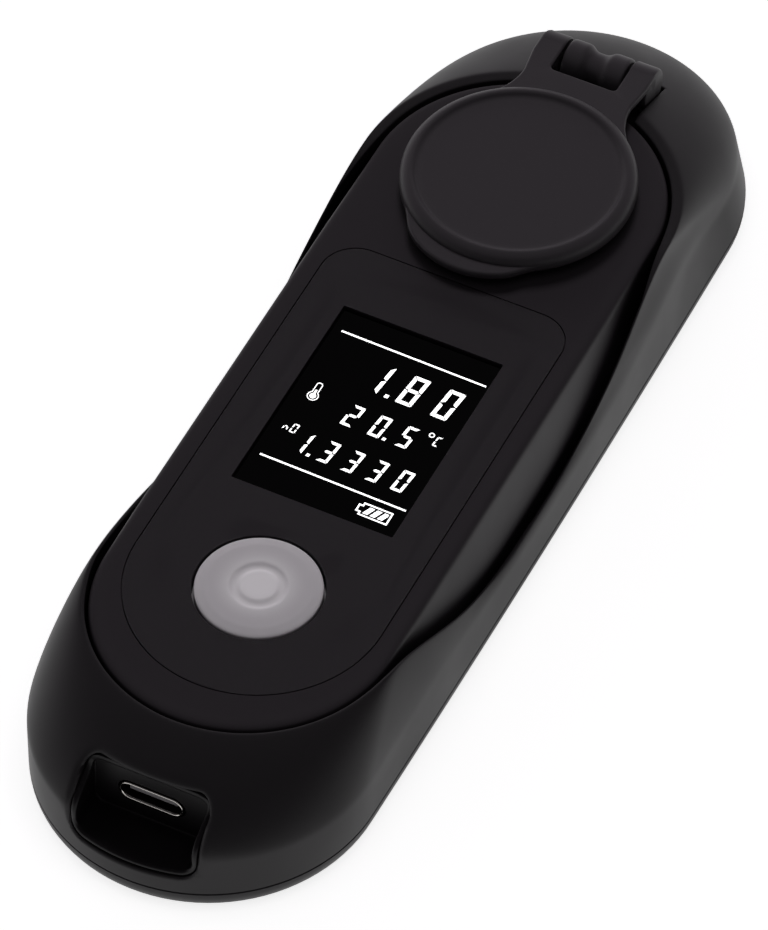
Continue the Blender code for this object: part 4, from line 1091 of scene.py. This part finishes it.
def insert_line(grow, place):
    """One line of the insert's skin; growth and place along the body may differ all round."""
    sizes = zip(np.full(insert_points, grow), np.full(insert_points, place))
    return [
        (x, place, z)
        for number, (grow, place) in enumerate(sizes) for x, z in [pocket_line(grow)[number]]
    ]


lip = []
for x, z in pocket_line(insert_wall / 2):
    front = surface_place(x, min(z + 0.0004, pocket_roof)) + 0.0004
    lip.append(between(
        front, pocket_back - 0.0003, ease((z - pocket_middle) / pocket_half_height),
    ))
lip = np.array(lip)
lip_rounding = np.minimum(insert_wall / 2, (pocket_back - lip) * 0.45)
fillet = np.minimum(insert_fillet, (pocket_back - lip) * 0.45)
insert_lines = [insert_line(insert_wall, insert_back)]
for angle in np.linspace(0, math.pi, 9):
    insert_lines.append(insert_line(
        insert_wall / 2 * (1 + math.cos(angle)), lip + lip_rounding * (1 - math.sin(angle)),
    ))
for angle in np.linspace(0, math.pi / 2, 6):
    insert_lines.append(insert_line(
        -fillet * (1 - math.cos(angle)), pocket_back - fillet * (1 - math.sin(angle)),
    ))
hole_line = closed_line(round_cornered(
    socket_half_width + socket_clearance, socket_half_height + socket_clearance,
    socket_half_height + 0.0002, (0.0, socket_height), steps=10,
), insert_points)
for place in (pocket_back, pocket_back + 0.0002, insert_back):
    insert_lines.append([(x, place, z) for x, z in hole_line])
black_abs_and_lining_shade = new_finish("plain_black_abs_and_lining_shade", "#0a080a", IOR=1.27)
add_grain(black_abs_and_lining_shade, width=0.0003, depth=0.000004, strength=0.3, roughness=(0.34, 0.42))
finished(
    as_piece("usb_insert", skinned(insert_lines)), black_abs_and_lining_shade,
    "housing", "casing_plastic", "usb_bezel",
)

# The shell is bright nickel on its rim and outside; its lining carries the black plastic finish, a
# painted shade.
nickel = new_finish("nickel_plated_shell", "#d2cfca", Metallic=1.0)
add_grain(nickel, width=0.0004, depth=0.000002, strength=0.3, roughness=(0.14, 0.19))
shell_wall = 0.0003
shell_points = 96


def shell_line(inset, place):
    """The socket shell's outline at a place along the body, set in by a wall or a rounding."""
    half_width, half_height = socket_half_width - inset, socket_half_height - inset
    outline = closed_line(round_cornered(
        half_width, half_height, half_height * 0.97, (0.0, socket_height), steps=12,
    ), shell_points)
    return [(x, place, z) for x, z in outline]


shell_steps = [(0.0, socket_back), (0.0, socket_front + shell_wall / 2)]
for step in range(1, 6):
    angle = math.pi * step / 6
    shell_steps.append((
        shell_wall / 2 * (1 - math.cos(angle)),
        socket_front + shell_wall / 2 * (1 - math.sin(angle)),
    ))
shell_steps += [(shell_wall, socket_front + shell_wall), (shell_wall, socket_back)]
shell_shape = skinned([shell_line(inset, place) for inset, place in shell_steps])
shell = finished(
    as_piece("usb_shell", shell_shape), nickel, "housing", "plated_shell", "usb_connector",
)
# Painted shade: the faces of the shell's lining are given the black plastic finish instead of
# nickel.
shell.data.materials.append(black_abs_and_lining_shade)
for face in list(shell.data.polygons)[-2 * shell_points:-shell_points]:
    face.material_index = 1

tongue_half_width = 0.003345
tongue_half_height = 0.00035
tongue_plastic = new_finish("glass_filled_nylon", "#6f6d6f", IOR=1.45)
add_grain(tongue_plastic, width=0.0002, depth=0.000004, roughness=(0.46, 0.54))
tongue = block(
    "usb_tongue_blade",
    (-tongue_half_width, socket_front + 0.0007, socket_height - tongue_half_height),
    (tongue_half_width, socket_front + 0.0064, socket_height + tongue_half_height),
)
tongue_edge = tongue.modifiers.new("edges", "BEVEL")
tongue_edge.width = 0.00012
tongue_edge.segments = 2
tongue_root = upright_slab(
    "usb_root", round_cornered(0.00402, 0.00113, 0.00102, (0.0, socket_height), steps=6),
    socket_back - 0.0022, socket_back,
)
carved(tongue, tongue_root, operation="UNION")
finished(tongue, tongue_plastic, "housing", "black_plastic", "usb_tongue")

contact_pitch = 0.0005
contact_size = Vector((0.00024, 0.0034, 0.00003))
contact_gold = new_finish("gold_flashed_contacts", "#d9b45a", Metallic=1.0)
add_grain(contact_gold, width=0.0002, depth=0.000001, strength=0.3, roughness=(0.27, 0.33))
contacts = bmesh.new()
for number in range(12):
    for side in (-1, 1):
        middle = Vector((
            (number - 5.5) * contact_pitch, socket_front + 0.0030,
            socket_height + side * tongue_half_height,
        ))
        bmesh.ops.create_cube(
            contacts, size=1.0, matrix=Matrix.LocRotScale(middle, None, contact_size),
        )
finished(as_piece("usb_contacts", contacts), contact_gold, "housing", "plated_shell")

# Housing screws.
# Four self-tapping steel screws with pan heads and cross recesses, sunk in the tray's floor. Zinc
# plating makes them a cool, uneven silver.

zinc = new_finish("zinc_plated_steel", "#b9bcc0", Metallic=1.0)
add_grain(zinc, width=0.0003, depth=0.000004, strength=0.4, roughness=(0.28, 0.36))
recess_depth = 0.0011
recess_arms = ((0.00028, 0.0013), (0.0013, 0.00028))
for number, (x, y) in enumerate(screw_places, 1):
    screw = turned(f"tray_screw_{number}", [
        (0.0, 0.0106), (0.0005, 0.0106), (0.0011, 0.0099), (0.0011, 0.0016), (0.0024, 0.0016),
        (0.0024, 0.0008), (0.0021, 0.00045), (0.0015, 0.0003), (0.0, 0.0003),
    ], (x, y, 0), steps=48)
    carved(screw, *[
        block(f"recess_{number}_{turn}", (x - a, y - b, -0.0010), (x + a, y + b, recess_depth))
        for turn, (a, b) in enumerate(recess_arms)
    ])
    finished(screw, zinc, "housing", "stainless_steel", f"housing_screw_{number}")

# Inside pieces.
# What the casing hides keeps its CAD shape: boards of glass-filled laminate, the wrapped cell on
# its foam, leads, the display's frame and film, and the optics under the prism.

# Green laminate, in which the glass cloth's weave of 0.4 mm shows as faint squares.
laminate = new_finish("glass_laminate_board", "#0f4a22", Roughness=0.42)
weave_width = 0.0004
weave_place = add_node(laminate.node_tree, "ShaderNodeTexCoord").outputs["Object"]
feed(laminate, "Base Color", add_node(laminate.node_tree, "ShaderNodeTexChecker", {
    "Scale": 1 / weave_width, "Color1": linear("#0f4a22"), "Color2": linear("#0c3f1d"),
}, {"Vector": weave_place}).outputs["Color"])

# Moulded black nylon is even and half matt.
moulded_black = new_finish("moulded_black_nylon", "#141214", IOR=1.53)
add_grain(moulded_black, width=0.0003, depth=0.00001, roughness=(0.42, 0.55))

# Shrink film lies tight and glossy over the cell, in shallow ripples 4 mm wide.
shrink_wrap = new_finish("blue_shrink_film", "#2f6f9f", IOR=1.5)
add_grain(shrink_wrap, width=0.004, depth=0.00005, roughness=(0.22, 0.38))

# Open-cell foam is dead matt and pitted by its cells.
foam = new_finish("open_cell_foam", "#2c2a2c", Roughness=0.95)
add_grain(foam, width=0.0006, depth=0.0001, strength=1.0)

# Extruded wire sleeving is smooth and half glossy, in the two colours of the poles.
red_sleeving = new_finish("red_wire_sleeving", "#a81818", IOR=1.5)
black_sleeving = new_finish("black_wire_sleeving", "#1a1a1a", IOR=1.5)
for sleeving in (red_sleeving, black_sleeving):
    add_grain(sleeving, width=0.001, depth=0.00001, strength=0.3, roughness=(0.3, 0.4))

# Polyimide is a glossy amber film, cast epoxy a clear yellow drop.
polyimide = new_finish("amber_polyimide_film", "#b8741f", IOR=1.6)
add_grain(polyimide, width=0.002, depth=0.00001, strength=0.3, roughness=(0.2, 0.3))
clear_epoxy = new_finish("clear_yellow_epoxy", "#f2d27a", IOR=1.54, Transmission_Weight=0.8)
add_grain(clear_epoxy, width=0.001, depth=0.000002, strength=0.3, roughness=(0.06, 0.10))

for finish, names in (
    (laminate, ("main_board", "lamp_board", "sensor_board")),
    (moulded_black, (
        "processor_chip", "tactile_switch", "switch_plunger", "display_frame", "optics_block",
        "line_sensor", "thermistor",
    )),
    (window_gloss, ("display_panel",)),
    (polyimide, ("display_flex",)),
    (prism_glass, ("focus_lens",)),
    (clear_epoxy, ("lamp",)),
    (nitrile, ("dish_seal",)),
    (shrink_wrap, ("battery_cell",)),
    (foam, ("battery_pad",)),
    (red_sleeving, ("battery_lead_positive",)),
    (black_sleeving, ("battery_lead_negative",)),
    (zinc, [f"board_screw_{number}" for number in range(1, 5)]),
):
    for name in names:
        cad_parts[name].material_slots[0].material = finish
